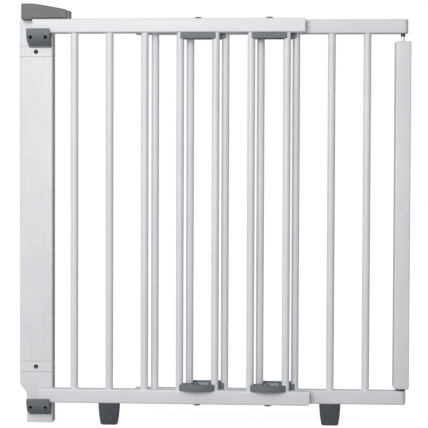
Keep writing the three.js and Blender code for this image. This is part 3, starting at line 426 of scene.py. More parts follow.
settled_dust, group_in, group_out = new_group("settled dust", POSITION, ["Dust"])
facing = add_node(settled_dust, "ShaderNodeNewGeometry").outputs["Normal"]
upward = add_node(settled_dust, "ShaderNodeSeparateXYZ", {0: facing}).outputs["Z"]
speckle = stretched_noise(settled_dust, group_in.outputs["Position"], (260, 260, 260), 4, 0.7)
level, grains = spread(settled_dust, upward, 0.6, 1.0), spread(settled_dust, speckle, 0.4, 0.75)
dust = combine(settled_dust, "MULTIPLY", level, grains)
settled_dust.links.new(dust, group_out.inputs["Dust"])
print("groups:", [group.name for group in bpy.data.node_groups])


# %% Start a material
def start_material(name, turn=(0, 0, 0), **shader):
    """A material whose patterns lie along x, or along another axis by a turn of the mapping.
    Values that are the same all over go straight to the shader's sockets."""
    material = bpy.data.materials.new(name)
    material.use_nodes = True
    tree = material.node_tree
    surface = tree.nodes["Principled BSDF"]
    for socket, value in shader.items():
        surface.inputs[socket.replace("_", " ")].default_value = value
    here = add_node(tree, "ShaderNodeTexCoord").outputs["Object"]
    mapping = add_node(tree, "ShaderNodeMapping", {"Vector": here}, vector_type="POINT")
    mapping.inputs["Rotation"].default_value = tuple(math.radians(angle) for angle in turn)
    return material, tree, surface, mapping.outputs["Vector"]


def place_group(tree, group, position):
    """Puts a shared group into a material and returns its outputs."""
    node = add_node(tree, "ShaderNodeGroup", node_tree=group)
    tree.links.new(position, node.inputs["Position"])
    return node.outputs


def tint(tree, base, change, colour, blend="MIX"):
    """Mixes a colour into a base where a value is high."""
    mix = tree.nodes.new("ShaderNodeMix")
    mix.data_type, mix.blend_type = "RGBA", blend
    for name, value in {"Factor": change, "A": base, "B": colour}.items():
        socket = next(s for s in mix.inputs if s.name == name and s.enabled)
        if isinstance(value, bpy.types.NodeSocket):
            tree.links.new(value, socket)
        else:
            socket.default_value = value
    return next(s for s in mix.outputs if s.enabled)


def relief(tree, surface, *layers):
    """Stacks bumps: each layer is a height, its depth in millimetres and its strength."""
    normal = None
    for height, depth, strength in layers:
        settings = {"Height": height, "Distance": depth * MM, "Strength": strength}
        if normal is not None:
            settings["Normal"] = normal
        normal = add_node(tree, "ShaderNodeBump", settings).outputs["Normal"]
    tree.links.new(normal, surface.inputs["Normal"])


# %% [markdown]
# ### White paint
# The rails, bars, boards and post are painted wood. The paint is a cool satin white, a touch
# thinner and warmer on the edges that the brush drags over, with faint long ridges.


# %% Mix the paint
def white_paint(name, turn):
    """Cool satin white with ridges along one axis."""
    material, tree, surface, position = start_material(name, turn, Specular_IOR_Level=0.45)
    wood = place_group(tree, painted_wood, position)
    worn = place_group(tree, rubbed_edge, position)["Edge"]
    base = tint(tree, (0.80, 0.81, 0.825, 1), wood["Patches"], (0.85, 0.855, 0.865, 1))
    streaks = combine(tree, "MULTIPLY", wood["Ridges"], 0.16)
    grained = tint(tree, base, streaks, (0.72, 0.72, 0.73, 1))
    edged = tint(tree, grained, combine(tree, "MULTIPLY", worn, 0.25), (0.80, 0.77, 0.70, 1))
    tree.links.new(edged, surface.inputs["Base Color"])
    gloss = spread(tree, wood["Film"], 0, 1, 0.36, 0.5)
    tree.links.new(gloss, surface.inputs["Roughness"])
    relief(tree, surface, (wood["Ridges"], 0.05, 0.35), (wood["Film"], 0.03, 0.2))
    return material


paint_along = white_paint("white paint along the rails", (0, 0, 0))
paint_upright = white_paint("white paint up the bars", (0, 90, 0))

# %% [markdown]
# ### Bare wood
# Inside the sunk screw holes the paint stops and the raw wood shows, brown and fibrous.

# %% Stain the wood
bare_wood, tree, surface, position = start_material("bare wood", (0, 90, 0), Roughness=0.8)
fibres = spread(tree, stretched_noise(tree, position, (60, 1500, 1500), 4, 0.65), 0.3, 0.7)
brown = tint(tree, (0.24, 0.16, 0.11, 1), fibres, (0.50, 0.38, 0.28, 1))
tree.links.new(brown, surface.inputs["Base Color"])
relief(tree, surface, (fibres, 0.2, 0.5))

# %% [markdown]
# ### Moulded plastics
# One recipe serves all plastics. The tone changes slowly as the melt cooled, fine pits scatter
# the gloss, edges are rubbed a little lighter, and upward faces hold some dust.

# %% Mould the plastics
PIT_DEPTH, GLOSS_RANGE = 0.05, (0.42, 0.58)


def moulded(name, dark, light, rubbed):
    """A plastic between two tones, with a lighter colour on its edges."""
    material, tree, surface, position = start_material(name, Specular_IOR_Level=0.4)
    skin_of_mould = place_group(tree, mould_skin, position)
    worn = place_group(tree, rubbed_edge, position)["Edge"]
    dust = place_group(tree, settled_dust, position)["Dust"]
    tone = tint(tree, (*dark, 1), skin_of_mould["Flow"], (*light, 1))
    spots = combine(tree, "MULTIPLY", skin_of_mould["Mottle"], 0.2)
    spotted = tint(tree, tone, spots, (*rubbed, 1))
    edged = tint(tree, spotted, combine(tree, "MULTIPLY", worn, 0.45), (*rubbed, 1))
    dusted = tint(tree, edged, combine(tree, "MULTIPLY", dust, 0.12), (0.55, 0.54, 0.52, 1))
    tree.links.new(dusted, surface.inputs["Base Color"])
    gloss = spread(tree, skin_of_mould["Mottle"], 0, 1, *GLOSS_RANGE)
    tree.links.new(gloss, surface.inputs["Roughness"])
    waves = (skin_of_mould["Mottle"], 0.05, 0.15)
    relief(tree, surface, (skin_of_mould["Pits"], PIT_DEPTH, 0.45), waves)
    return material


slate, latch_grey, foot_grey, black_grey, tip_brown = (moulded(*row) for row in (
    ("slate plastic", (0.150, 0.165, 0.180), (0.175, 0.190, 0.205), (0.27, 0.285, 0.30)),
    ("latch grey", (0.148, 0.150, 0.157), (0.172, 0.173, 0.179), (0.25, 0.25, 0.26)),
    ("foot plastic", (0.060, 0.066, 0.080), (0.080, 0.086, 0.100), (0.14, 0.15, 0.165)),
    ("dark plastic", (0.045, 0.046, 0.05), (0.06, 0.061, 0.065), (0.12, 0.12, 0.125)),
    ("tip plastic", (0.17, 0.145, 0.125), (0.215, 0.185, 0.16), (0.32, 0.28, 0.25)),
))

# %% [markdown]
# ### Metals
# The connector plates are zinc plated with a pale blue passivation that clouds from place to
# place, and their colour is raised pale and bright, with little metal, as painted reflection
# of the bright surroundings. Clamp bolts are dark, dull-finished steel, and the catch screws
# get the same dark steel as painted shade, so the deep sunk holes read dark. Nuts, pins and
# the other screws are bright, all with fine turning lines.


# %% Plate the metals
def metal(name, dull, bright, roughness, stretch, metallic=1.0):
    """A metal with clouds of tone and fine lines along one axis."""
    material, tree, surface, position = start_material(name, Metallic=metallic)
    lines = spread(tree, stretched_noise(tree, position, stretch, 3, 0.6), 0.3, 0.7)
    clouds = spread(tree, stretched_noise(tree, position, (120, 120, 120), 3), 0.35, 0.65)
    colour = tint(tree, (*dull, 1), clouds, (*bright, 1))
    tree.links.new(colour, surface.inputs["Base Color"])
    tree.links.new(spread(tree, lines, 0, 1, *roughness), surface.inputs["Roughness"])
    relief(tree, surface, (lines, 0.02, 0.3))
    return material


ROLLED, LATHED = (60, 1400, 1400), (400, 400, 2600)
# The pale bright blue is partly the plating's own passivation and partly painted reflection of the
# bright surroundings, helped by the low metallic value.
PALE_BLUE_AND_PAINTED_REFLECTION = (0.62, 0.76, 0.86), (0.78, 0.90, 0.97)
# These dark steel tones are the clamp bolts' own finish, and on the catch screws they are painted
# shade for the deep sunk holes.
DULL_STEEL_AND_HOLE_SHADE, BRIGHT = ((0.16, 0.16, 0.165), (0.26, 0.26, 0.27)), ((0.52, 0.53, 0.54), (0.66, 0.67, 0.68))
blue_zinc_with_painted_reflection = metal("blue zinc plating", *PALE_BLUE_AND_PAINTED_REFLECTION, (0.28, 0.46), ROLLED, 0.3)
dull_steel_and_hole_shade = metal("dull steel and painted hole shade", *DULL_STEEL_AND_HOLE_SHADE, (0.4, 0.6), LATHED, 0.8)
bright_steel = metal("bright steel", *BRIGHT, (0.22, 0.38), LATHED)
print("materials:", [material.name for material in bpy.data.materials])

# %% [markdown]
# ## Rails
# A rail is a planed strip, 20 by 28 mm, with its long edges rounded to 3 mm. The front rails
# end square with a broken edge, and the bottom ones also lose their lower corner. The rear
# rails end in a half circle about the hinge pin, so that they can turn beside the wall. A
# stack of rounded rectangles along x covers all of these: only their limits change near an end.

# %% Shape the rails
RAIL_EDGE, BROKEN_EDGE, LOWER_CORNER = 3.0, 1.2, 5.0


def rail_rings(low, high, round_end, lifted_corner):
    """Rounded rectangles across the rail. Near an end all four sides draw back by a quarter
    circle. A lifted corner raises the underside by a larger one, and a round end narrows the
    width as the square root of R² - x² from the pin."""
    half = (high[1] - low[1]) / 2
    ends = np.unique(np.concatenate([steps_round(BROKEN_EDGE, 5), steps_round(LOWER_CORNER, 8)]))
    bow = half * np.sin(np.linspace(0, 0.94 * np.pi / 2, 18)) if round_end else []
    right = high[0] - half + np.asarray(bow) if round_end else high[0] - ends[::-1]
    x = np.concatenate([low[0] + ends, right])
    near, far = x - low[0], high[0] - x
    inset = draw_back(near, BROKEN_EDGE) + (0 if round_end else draw_back(far, BROKEN_EDGE))
    from_pin = np.clip(x - (high[0] - half), 0, half)
    width = np.sqrt(half**2 - from_pin**2) if round_end else np.full_like(x, half)
    centre = (low[1] + high[1]) / 2
    lift = draw_back(far, LOWER_CORNER) if lifted_corner else 0
    radius = np.clip(RAIL_EDGE - inset, 1.5, None)
    y, z = rounded_rings(
        centre - width + inset,
        centre + width - inset,
        low[2] + np.maximum(inset, lift),
        high[2] - inset,
        radius,
        6,
    )
    return in_plane(y, z, x, "yz")


for side in ("front", "rear"):
    for level in ("top", "bottom"):
        node = f"{side}_{level}_rail"
        low, high = limits(node)
        shape = rail_rings(low, high, side == "rear", level == "bottom")
        finish_piece(mesh_object(node, skin(shape)), node, paint_along)
        print(node, "is", np.round(high[0] - low[0], 1), "mm long")

# %% [markdown]
# ## Bars
# The fourteen bars are turned dowels. They go 14 mm into both rails. Where a bar enters a
# rail, paint has run into the joint and left a tiny fillet, so the radius grows by half a
# millimetre over the last millimetre.

# %% Turn the bars
rail_top = limits("front_bottom_rail")[1][2]
rail_under = limits("front_top_rail")[0][2]
FILLET, FILLET_FADE, SUNK = 0.55, 0.5, 0.4


def bar_rings(low, high):
    """A circle of the bar's radius, grown by a falling exponential of the distance to the
    nearest rail face."""
    distance = np.array([0, 0.15, 0.35, 0.6, 0.9, 1.3, 1.9, 2.6])
    z = np.concatenate([
        [low[2], rail_top - SUNK],
        rail_top + distance,
        rail_under - distance[::-1],
        [rail_under + SUNK, high[2]],
    ])
    gap = np.minimum(np.abs(z - rail_top), np.abs(z - rail_under))
    radius = (high[0] - low[0]) / 2 + FILLET * np.exp(-gap / FILLET_FADE)
    radius[[0, 1, -2, -1]] -= FILLET * np.exp(-gap[[0, 1, -2, -1]] / FILLET_FADE)
    return turned_rings(radius, z, (low + high) / 2, "z", 48)


for side in ("front", "rear"):
    for number in range(1, 8):
        node = f"{side}_bar_{number}"
        finish_piece(mesh_object(node, skin(bar_rings(*limits(node)))), node, paint_upright)
print("bars of", np.round(limits("front_bar_1")[1][0] - limits("front_bar_1")[0][0], 1), "mm")

# %% [markdown]
# ## Latch board
# The board on the latch wall is a planed plank. Its lower left corner is cut away to clear a
# skirting board. Two pairs of grooves run across its face, and between each pair a screw hole
# is sunk into bare wood. The plank is a stack of rounded rectangles along z: its left side
# follows the skirting cut, and its front dips at each groove.

# %% Plane the latch board
SKIRTING_DEPTH, SKIRTING_TOP, SKIRTING_SLOPE, SKIRTING_SOFTNESS = 14.0, 79.0, 0.78, 2.0
GROOVE_OFFSET, GROOVE_HALF, GROOVE_DEPTH, GROOVE_SIDE = 10.6, 1.3, 2.6, 0.45
GROOVE_ROWS = np.array([-1.3, -1.1, -0.85, 0.85, 1.1, 1.3])
UPPER_HOLE_DROP, LOWER_HOLE_RISE = 63.5, 114.0
BOARD_TOE, BOARD_CROWN, BOARD_EDGE, WOOD_BEVEL = 0.8, 1.4, 2.5, 0.35
SINK_RADIUS, SINK_DEPTH, HOLE_RADIUS = 4.5, 7.0, 2.5
board_low, board_high = limits("latch_board")
hole_heights = (board_high[2] - UPPER_HOLE_DROP, LOWER_HOLE_RISE)
grooves = np.array([h + s * GROOVE_OFFSET for h in hole_heights for s in (-1, 1)])


def skirting_cut(z):
    """The slope of the cut, limited softly to its full depth: d - k ln(1 + exp((d - s) / k))."""
    slope = np.clip(SKIRTING_TOP - z, 0, None) * SKIRTING_SLOPE
    short = (SKIRTING_DEPTH - slope) / SKIRTING_SOFTNESS
    return SKIRTING_DEPTH - SKIRTING_SOFTNESS * np.log1p(np.exp(short))


def groove_dip(z):
    """A flat-bottomed groove with sloping sides, from the distance to the nearest groove."""
    nearest = np.min(np.abs(z[:, None] - grooves), axis=1)
    return GROOVE_DEPTH * np.clip((GROOVE_HALF - nearest) / GROOVE_SIDE, 0, 1)


board_z = np.unique(np.concatenate([
    steps_round(BOARD_TOE, 4),
    np.linspace(1.5, 82, 60),
    (grooves[:, None] + GROOVE_ROWS).ravel(),
    board_high[2] - steps_round(BOARD_CROWN, 6),
]))
inset = draw_back(board_z, BOARD_TOE) + draw_back(board_high[2] - board_z, BOARD_CROWN)
board_x, board_y = rounded_rings(
    board_low[0] + skirting_cut(board_z) + inset,
    board_high[0] - inset,
    board_low[1] + groove_dip(board_z) + inset,
    board_high[1] - inset,
    BOARD_EDGE,
    6,
)
board = mesh_object("latch_board", skin(in_plane(board_x, board_y, board_z, "xy")))
board_middle = (board_low[0] + board_high[0]) / 2
for height in hole_heights:
    where = (board_middle, 0, height)
    sink = rod(SINK_RADIUS, (board_low[1] - 1, board_low[1] + SINK_DEPTH), where, "y", 40)
    shank = rod(HOLE_RADIUS, (board_low[1] - 1, board_high[1] + 1), where, "y", 24)
    carve(board, sink, shank)
soften(board, WOOD_BEVEL)

# %% [markdown]
# Only faces that lie inside a sunk hole, behind the painted face, are bare wood. A face's
# centre tells this, so one array of distances sorts all faces at once.


# %% Bare wood in the holes
def bare_inside(piece, axes, centres, radius, face_axis, painted_at, along_positive=True):
    """Gives the second material to faces whose centres are nearer to a hole's axis than its
    radius and lie behind the painted face."""
    count = len(piece.data.polygons)
    centre = np.empty(count * 3)
    piece.data.polygons.foreach_get("center", centre)
    centre = centre.reshape(-1, 3) / MM
    gap = np.stack([np.hypot(*(centre[:, axes] - c).T) for c in centres]).min(axis=0)
    depth = centre[:, face_axis]
    behind = depth > painted_at if along_positive else depth < painted_at
    inner = np.abs(depth - depth.min()) > 0.5
    chosen = (gap < radius) & behind & inner
    piece.data.polygons.foreach_set("material_index", chosen.astype(np.int32))
    return int(chosen.sum())


board.data.materials.append(paint_upright)
board.data.materials.append(bare_wood)
holes = [np.array([board_middle, height]) for height in hole_heights]
count = bare_inside(board, [0, 2], holes, SINK_RADIUS + 0.2, 1, board_low[1] + 0.6)
finish_piece(board, "latch_board", paint_upright)
print(count, "faces of bare wood in the board")

# %% [markdown]
# ## Hinge post
# The post on the hinge wall is a square strip with rounded edges and well-rounded ends. Two
# blind holes in its wall face take the studs that it hangs on, and a pin stands in each end.

# %% Plane the hinge post
post_low, post_high = limits("hinge_post")
POST_TOE, POST_CROWN, POST_EDGE = 3.6, 2.6, 2.6
POST_HOLE_DEPTH, POST_HOLE_MARGIN = 18.0, 75.0
crown_z = post_high[2] - steps_round(POST_CROWN, 7)[::-1]
post_z = np.concatenate([post_low[2] + steps_round(POST_TOE, 7), crown_z])
inset = draw_back(post_z - post_low[2], POST_TOE) + draw_back(post_high[2] - post_z, POST_CROWN)
left, right = post_low[0] + inset, post_high[0] - inset
post_x, post_y = rounded_rings(
    left, right, post_low[1] + inset, post_high[1] - inset, POST_EDGE, 6
)
post = mesh_object("hinge_post", skin(in_plane(post_x, post_y, post_z, "xy")))
post_middle = (post_low + post_high) / 2
post_holes = (post_low[2] + POST_HOLE_MARGIN, post_high[2] - POST_HOLE_MARGIN)
for height in post_holes:
    span = (post_high[0] - POST_HOLE_DEPTH, post_high[0] + 1)
    carve(post, rod(HOLE_RADIUS, span, (0, post_middle[1], height), "x", 24))
soften(post, WOOD_BEVEL)
post.data.materials.append(paint_upright)
post.data.materials.append(bare_wood)
holes = [np.array([post_middle[1], height]) for height in post_holes]
count = bare_inside(
    post, [1, 2], holes, HOLE_RADIUS + 0.3, 0, post_high[0] - 0.6, along_positive=False
)
finish_piece(post, "hinge_post", paint_upright)
print(count, "faces of bare wood in the post")

# %% [markdown]
# ## Feet
# Each foot is a moulded peg foot that tapers down, with sides that belly out a little, corners
# rounded by 3 mm and a crowned underside. Its peg sits in the rail above.

# %% Mould the feet
FOOT_CORNER, FOOT_TOE, FOOT_BROW, FOOT_BELLY = 3.0, 3.2, 0.7, 1.0
TOE_LENGTH, TOE_WIDTH, LONGER_ABOVE, WIDER_ABOVE = 33, 14, 9, 4
PEG_RADIUS = 4.5


def foot_rings(low, high, seat):
    """Rounded rectangles up the foot. The half width runs straight from toe to top, plus a
    parabola 4t(1-t) for the belly, and draws back round the toe."""
    z = np.concatenate([
        low[2] + steps_round(FOOT_TOE, 7),
        np.linspace(low[2] + 5, seat - 2, 14),
        seat - steps_round(FOOT_BROW, 3)[::-1],
    ])
    t = (z - low[2]) / (seat - low[2])
    belly = FOOT_BELLY * 4 * t * (1 - t)
    round_off = draw_back(z - low[2], FOOT_TOE) + draw_back(seat - z, FOOT_BROW)
    half_x = (TOE_LENGTH + LONGER_ABOVE * t) / 2 + belly - round_off
    half_y = (TOE_WIDTH + WIDER_ABOVE * t) / 2 + 0.5 * belly - round_off
    cx, cy = ((low + high) / 2)[:2]
    x, y = rounded_rings(cx - half_x, cx + half_x, cy - half_y, cy + half_y, FOOT_CORNER, 7)
    return in_plane(x, y, z, "xy")


for side, rail in (("left", "front_bottom_rail"), ("right", "rear_bottom_rail")):
    node = f"{side}_foot"
    low, high = limits(node)
    seat = limits(rail)[0][2] - 0.3
    foot = mesh_object(node, skin(foot_rings(low, high, seat)))
    peg_r, peg_z = [PEG_RADIUS, PEG_RADIUS, PEG_RADIUS - 0.5], [seat - 1, high[2] - 0.5, high[2]]
    peg = skin(turned_rings(peg_r, peg_z, middle(node), "z", 32))
    carve(foot, peg, operation="UNION")
    finish_piece(foot, node, foot_grey)
    print(node, "stands", np.round(low[2], 1), "mm off the floor")

# %% [markdown]
# ## Connectors
# A connector has two moulded shoes that grip the bars of the front and the rear frame, and a
# plated strip between them. The strip sits on two studs in the rear shoe. A long slot in it
# slides on a bolt through the front rail, and a nut clamps it. The drawings are made once, on
# a rail face at height zero with the bolt at x = 0, and are turned over for the top rails.

# %% Sizes of a connector
PITCH = limits("front_bar_2")[0][0] - limits("front_bar_1")[0][0]
SHIFT = limits("rear_bar_1")[0][0] - limits("front_bar_3")[0][0]
BAR_Y = abs(middle("front_bar_1")[1])
FACE_Y = abs(limits("front_top_rail")[0][1])
GAP = 0.3
HALF = PITCH / 2 - GAP
GRIP_RADIUS, SHOE_INNER_Y, SHOE_EDGE, SHOE_BEVEL = 7.8, 0.8, 0.9, 0.3
FRONT_SHOE_HEIGHT, WINDOW_TOP, RIM_WIDTH, SUNK_FLOOR = 12.0, 13.0, 2.6, 10.6
LEVEL_CORNER, LEDGE_CORNER, NUT_ROOM = 1.6, 9.0, 7.0
PLATE_LOW, PLATE_HIGH, PLATE_CORNER = 5.0, 7.5, 3.5
PLATE_NEAR, PLATE_FAR = 8.2, 21.7
DRAW_OUT, PUSH_IN, SLOT_HALF = 2.5, 16.0, 3.3
STUD_RADIUS, STUD_HOLE_RADIUS = 2.5, 2.8
print("bar pitch", round(PITCH, 2), "mm; rear frame stands", round(SHIFT, 2), "mm to the side")


# %% [markdown]
# ### Shoe outline
# In plan a shoe runs straight beside the other frame, is hollowed by a round bay at each bar,
# and then either stays level with the rail or swells past it: as an arc in front, and as a
# straight ledge behind.


# %% Draw the shoes in plan
def shoe_outline(style, bulge):
    """Half the outline from the middle of the inner side round to the middle of the outer
    side, then its mirror image."""
    lean = np.arccos(np.clip((PITCH / 2 - HALF) / GRIP_RADIUS, -1, 1))
    around = np.linspace(-lean, lean, 15)[::-1]
    bay = np.stack([
        PITCH / 2 - GRIP_RADIUS * np.cos(around),
        BAR_Y - GRIP_RADIUS * np.sin(around),
    ], axis=1)
    start = np.array([[0, SHOE_INNER_Y], [HALF / 2, SHOE_INNER_Y], [HALF, SHOE_INNER_Y]])
    outer = FACE_Y + bulge
    if style == "arc" and bulge > 0:
        x = np.linspace(HALF, 0, 22)
        swell = 1 - (x / HALF) ** 2.3
        front = np.stack([x, FACE_Y + 2 + (bulge - 2) * swell], axis=1)
        front[0, 1] -= 1.2
    else:
        corner = LEVEL_CORNER if bulge == 0 else LEDGE_CORNER
        t = np.linspace(0, np.pi / 2, 9)
        rounding = np.stack([
            HALF - corner + corner * np.cos(t), outer - corner + corner * np.sin(t)
        ], axis=1)
        front = np.concatenate([rounding, [[HALF / 2, outer], [0, outer]]])
    right = np.concatenate([start, bay, front])
    left = right[-2:0:-1] * [-1, 1]
    return np.concatenate([right, left])


def sideways(way, near, far):
    """Two distances to one side or the other, in rising order."""
    return sorted((way * near, way * far))


# %% [markdown]
# ### Front shoe
# A pocket runs through it for the sliding strip, and a window in its top shows the nut and the
# plated strip. The top is sunk inside a rim that follows the outer arc.


# %% Mould the front shoe
def front_shoe(way, bulge):
    """The shoe in front coordinates: y grows towards the outside and is flipped later."""
    outline = shoe_outline("arc", bulge)
    block = slab(outline, "xy", (GAP, FRONT_SHOE_HEIGHT), SHOE_EDGE)
    shoe = mesh_object("front shoe", skin(block))
    sweep = PLATE_FAR + DRAW_OUT + GAP
    pocket_y = (-1, BAR_Y + SLOT_HALF + 4.3)
    window = sideways(way, min(abs(SHIFT) - (PITCH - 15) / 2, -NUT_ROOM), sweep)
    cutters = [
        box_skin((-sweep, sweep), pocket_y, (PLATE_LOW - GAP, PLATE_HIGH + GAP)),
        box_skin(window, pocket_y, (PLATE_LOW - GAP, WINDOW_TOP)),
        rod(SLOT_HALF, (-1, 6), (0, BAR_Y, 0), sides=32),
    ]
    if bulge > 0:
        sunk = outline + RIM_WIDTH * inward(outline)
        cutters.append(skin(slab(sunk, "xy", (SUNK_FLOOR, WINDOW_TOP))))
    carve(shoe, *cutters)
    return soften(shoe, SHOE_BEVEL)


# %% [markdown]
# ### Rear shoe
# The rear shoe carries the strip on two studs in a pocket that is open towards the front. On
# the bottom rails its straight ledge stands up behind the strip.


# %% Mould the rear shoe
def stud_places(way, bulge):
    """Where the two studs stand: on the strip's middle line, a quarter of its width apart."""
    y = (SHOE_INNER_Y + FACE_Y + bulge - 3.5) / 2
    x = (PLATE_FAR - PLATE_NEAR) / 2
    apart = (PLATE_FAR + PLATE_NEAR) / 4
    return [(way * x - apart, y), (way * x + apart, y)]


def rear_shoe(way, bulge, height):
    """The shoe of the rear frame, with a pocket for the strip and two studs in it."""
    outline = shoe_outline("ledge", bulge) + [way * abs(SHIFT), 0]
    shoe = mesh_object("rear shoe", skin(slab(outline, "xy", (GAP, height), SHOE_EDGE)))
    pocket = sideways(way, -PLATE_NEAR - GAP, PLATE_FAR + GAP)
    pocket_y = (-1, FACE_Y + bulge - 3.2)
    carve(shoe, box_skin(pocket, pocket_y, (PLATE_LOW - GAP, height + 1)))
    radius, z = [STUD_RADIUS, STUD_RADIUS, 2.1], [3.5, PLATE_HIGH - 0.4, PLATE_HIGH]
    places = stud_places(way, bulge)
    studs = [skin(turned_rings(radius, z, (x, y, 0), "z", 28)) for x, y in places]
    carve(shoe, *studs, operation="UNION")
    return soften(shoe, SHOE_BEVEL)


# %% [markdown]
# ### Strip, bolt and nut
# The strip is stamped from sheet, so its edges are only just broken. The bolt has a domed head
# with a hexagon socket and a real thread: its radius rises and falls with z/pitch minus the
# angle. The nut is a hexagon whose corners are cut by a cone.


# %% Stamp the strip
def clamp_plate(way, bulge):
    """A strip with rounded corners, a slot with round ends, and two holes for the studs."""
    near, far = sideways(way, -PLATE_NEAR, PLATE_FAR)
    front, rear = -(BAR_Y + SLOT_HALF + 4), FACE_Y + bulge - 3.5
    outline = soft_corners(rectangle((near, far), (front, rear)), PLATE_CORNER)
    plate = mesh_object("strip", skin(slab(outline, "xy", (PLATE_LOW, PLATE_HIGH))))
    a, b = sideways(way, -DRAW_OUT - SLOT_HALF, PUSH_IN + SLOT_HALF)
    t = np.linspace(-np.pi / 2, np.pi / 2, 13)
    x, y = SLOT_HALF * np.cos(t), SLOT_HALF * np.sin(t)
    right = np.stack([b - SLOT_HALF + x, y - BAR_Y], axis=1)
    left = np.stack([a + SLOT_HALF - x, -y - BAR_Y], axis=1)
    through = (PLATE_LOW - 1, PLATE_HIGH + 1)
    slot = skin(slab(np.concatenate([right, left]), "xy", through))
    places = stud_places(way, bulge)
    carve(plate, slot, *[rod(STUD_HOLE_RADIUS, through, (*place, 0)) for place in places])
    return soften(plate, 0.25)


# %% Turn the bolt and the nut
BOLT_RADIUS, THREAD_PITCH, THREAD_DEPTH = 3.0, 1.0, 0.22
HEAD_RADIUS, HEAD_DOME, HEAD_RIM, SOCKET_RADIUS, SOCKET_DEPTH = 7.75, 2.6, 0.6, 2.3, 1.4
RAIL_HEIGHT = 28.0
NUT_BASE, NUT_HEIGHT, NUT_HALF = 7.8, 4.5, 5.0
BOLT_SIDES, NUT_SIDES = 36, 72


def clamp_bolt():
    """Head and shank are turned. On the last stretch the radius is r - d |2 frac(z/p - a) - 1|,
    which is a triangular thread that climbs one pitch in a turn."""
    base = -RAIL_HEIGHT - GAP
    t = np.linspace(0, 1, 9)
    head_r = np.concatenate([[0.05], HEAD_RADIUS * np.sin(t[1:] * np.pi / 2)])
    head_z = base - HEAD_RIM - HEAD_DOME * np.cos(t * np.pi / 2)
    thread_z = np.arange(PLATE_LOW - 2, NUT_BASE + NUT_HEIGHT + 0.9, THREAD_PITCH / 8)
    neck, tip = [HEAD_RADIUS, BOLT_RADIUS, BOLT_RADIUS], [BOLT_RADIUS - 0.6, 0.05]
    end = thread_z[-1] + 0.3
    r = np.concatenate([head_r, neck, np.full(len(thread_z), BOLT_RADIUS), tip])
    z = np.concatenate([head_z, [base, base, thread_z[0] - 0.1], thread_z, [end, end]])
    rings = turned_rings(r, z, (0, -BAR_Y, 0), "z", BOLT_SIDES)
    angle = np.arange(BOLT_SIDES) / BOLT_SIDES
    wave = np.abs(2 * ((thread_z[:, None] / THREAD_PITCH - angle) % 1) - 1)
    rows = slice(len(head_r) + 3, len(head_r) + 3 + len(thread_z))
    shrink = 1 - THREAD_DEPTH * wave / BOLT_RADIUS
    axis = np.array([0, -BAR_Y])
    rings[rows, :, :2] = axis + (rings[rows, :, :2] - axis) * shrink[..., None]
    bolt = mesh_object("bolt", skin(rings))
    angle = np.arange(6) * np.pi / 3
    x, y = SOCKET_RADIUS * np.cos(angle), SOCKET_RADIUS * np.sin(angle) - BAR_Y
    return carve(bolt, skin(slab(np.stack([x, y], axis=1), "xy", (base - 4, base - SOCKET_DEPTH))))


def clamp_nut():
    """The distance to a hexagon's side is h / cos of the angle from the side's middle. A cone
    cuts the corners near both faces. The rows close on themselves round the bore."""
    angle = np.arange(NUT_SIDES) * 2 * np.pi / NUT_SIDES
    hexagon = NUT_HALF / np.cos((angle + np.pi / 6) % (np.pi / 3) - np.pi / 6)
    rise = np.array([0, 0, 0.25, 0.9])
    z = NUT_BASE + np.concatenate([rise, NUT_HEIGHT - rise[::-1]])
    limit = np.array([3.4, 4.9, 5.25, 9, 9, 5.25, 4.9, 3.4])
    radius = np.minimum(hexagon[None], limit[:, None])
    rings = turned_rings(np.ones(len(z)), z, (0, 0, 0), "z", NUT_SIDES)
    rings[..., :2] *= radius[..., None]
    rings[..., 1] -= BAR_Y
    return mesh_object("nut", skin(rings, closed=True), sharp=25)


# %% [markdown]
# ### Fit the connectors
# Each drawing is copied to its four places. Under the top rails it is turned over about y,
# which keeps the mesh right way out, while flipping the front shoe to the front needs its
# faces reversed again.


# %% Copy the drawings into place
def flip_front(piece):
    """Mirrors y. A mirror turns a mesh inside out, so the faces are reversed."""
    piece.data.transform(Matrix.Scale(-1, 4, (0, 1, 0)))
    piece.data.flip_normals()
    return piece


def placed_copy(source, x, z, turned_over):
    """A copy of a drawing, moved to its place and, for the top rails, turned over."""
    mesh = source.data.copy()
    over = Matrix.Rotation(math.pi, 4, "Y") if turned_over else Matrix.Identity(4)
    mesh.transform(Matrix.Translation((x * MM, 0, z * MM)) @ over)
    copy = bpy.data.objects.new("copy", mesh)
    bpy.context.scene.collection.objects.link(copy)
    return copy


FINISH_OF_KIND = {
    "front_shoe": slate,
    "rear_shoe": slate,
    "clamp_plate": blue_zinc_with_painted_reflection,
    "clamp_bolt": dull_steel_and_hole_shade,
    "clamp_nut": bright_steel,
}
LEVELS = (("bottom", rail_top, False, 14.0, 12.0), ("top", rail_under, True, 0.0, 9.4))
for level, face, over, bulge, height in LEVELS:
    way = -1 if over else 1
    drawings = {
        "front_shoe": flip_front(front_shoe(way, bulge)),
        "rear_shoe": rear_shoe(way, bulge, height),
        "clamp_plate": clamp_plate(way, bulge),
        "clamp_bolt": clamp_bolt(),
        "clamp_nut": clamp_nut(),
    }
    for side in ("left", "right"):
        x = middle(f"{level}_{side}_clamp_bolt")[0]
        for kind, drawing in drawings.items():
            copy = placed_copy(drawing, x, face, over)
            finish_piece(copy, f"{level}_{side}_{kind}", FINISH_OF_KIND[kind])
    for drawing in drawings.values():
        bpy.data.objects.remove(drawing)
    print(level, "connectors fitted")

# %% [markdown]
# ## Catches
# A catch is a moulded hook on the board. The end of a rail lies in its trough, and its front
# face curves under and back to a thin flange. Two screws are sunk deep into the curve. The
# hook is one outline seen from the side, carried across with rounded edges, and narrowed a
# little towards the board.

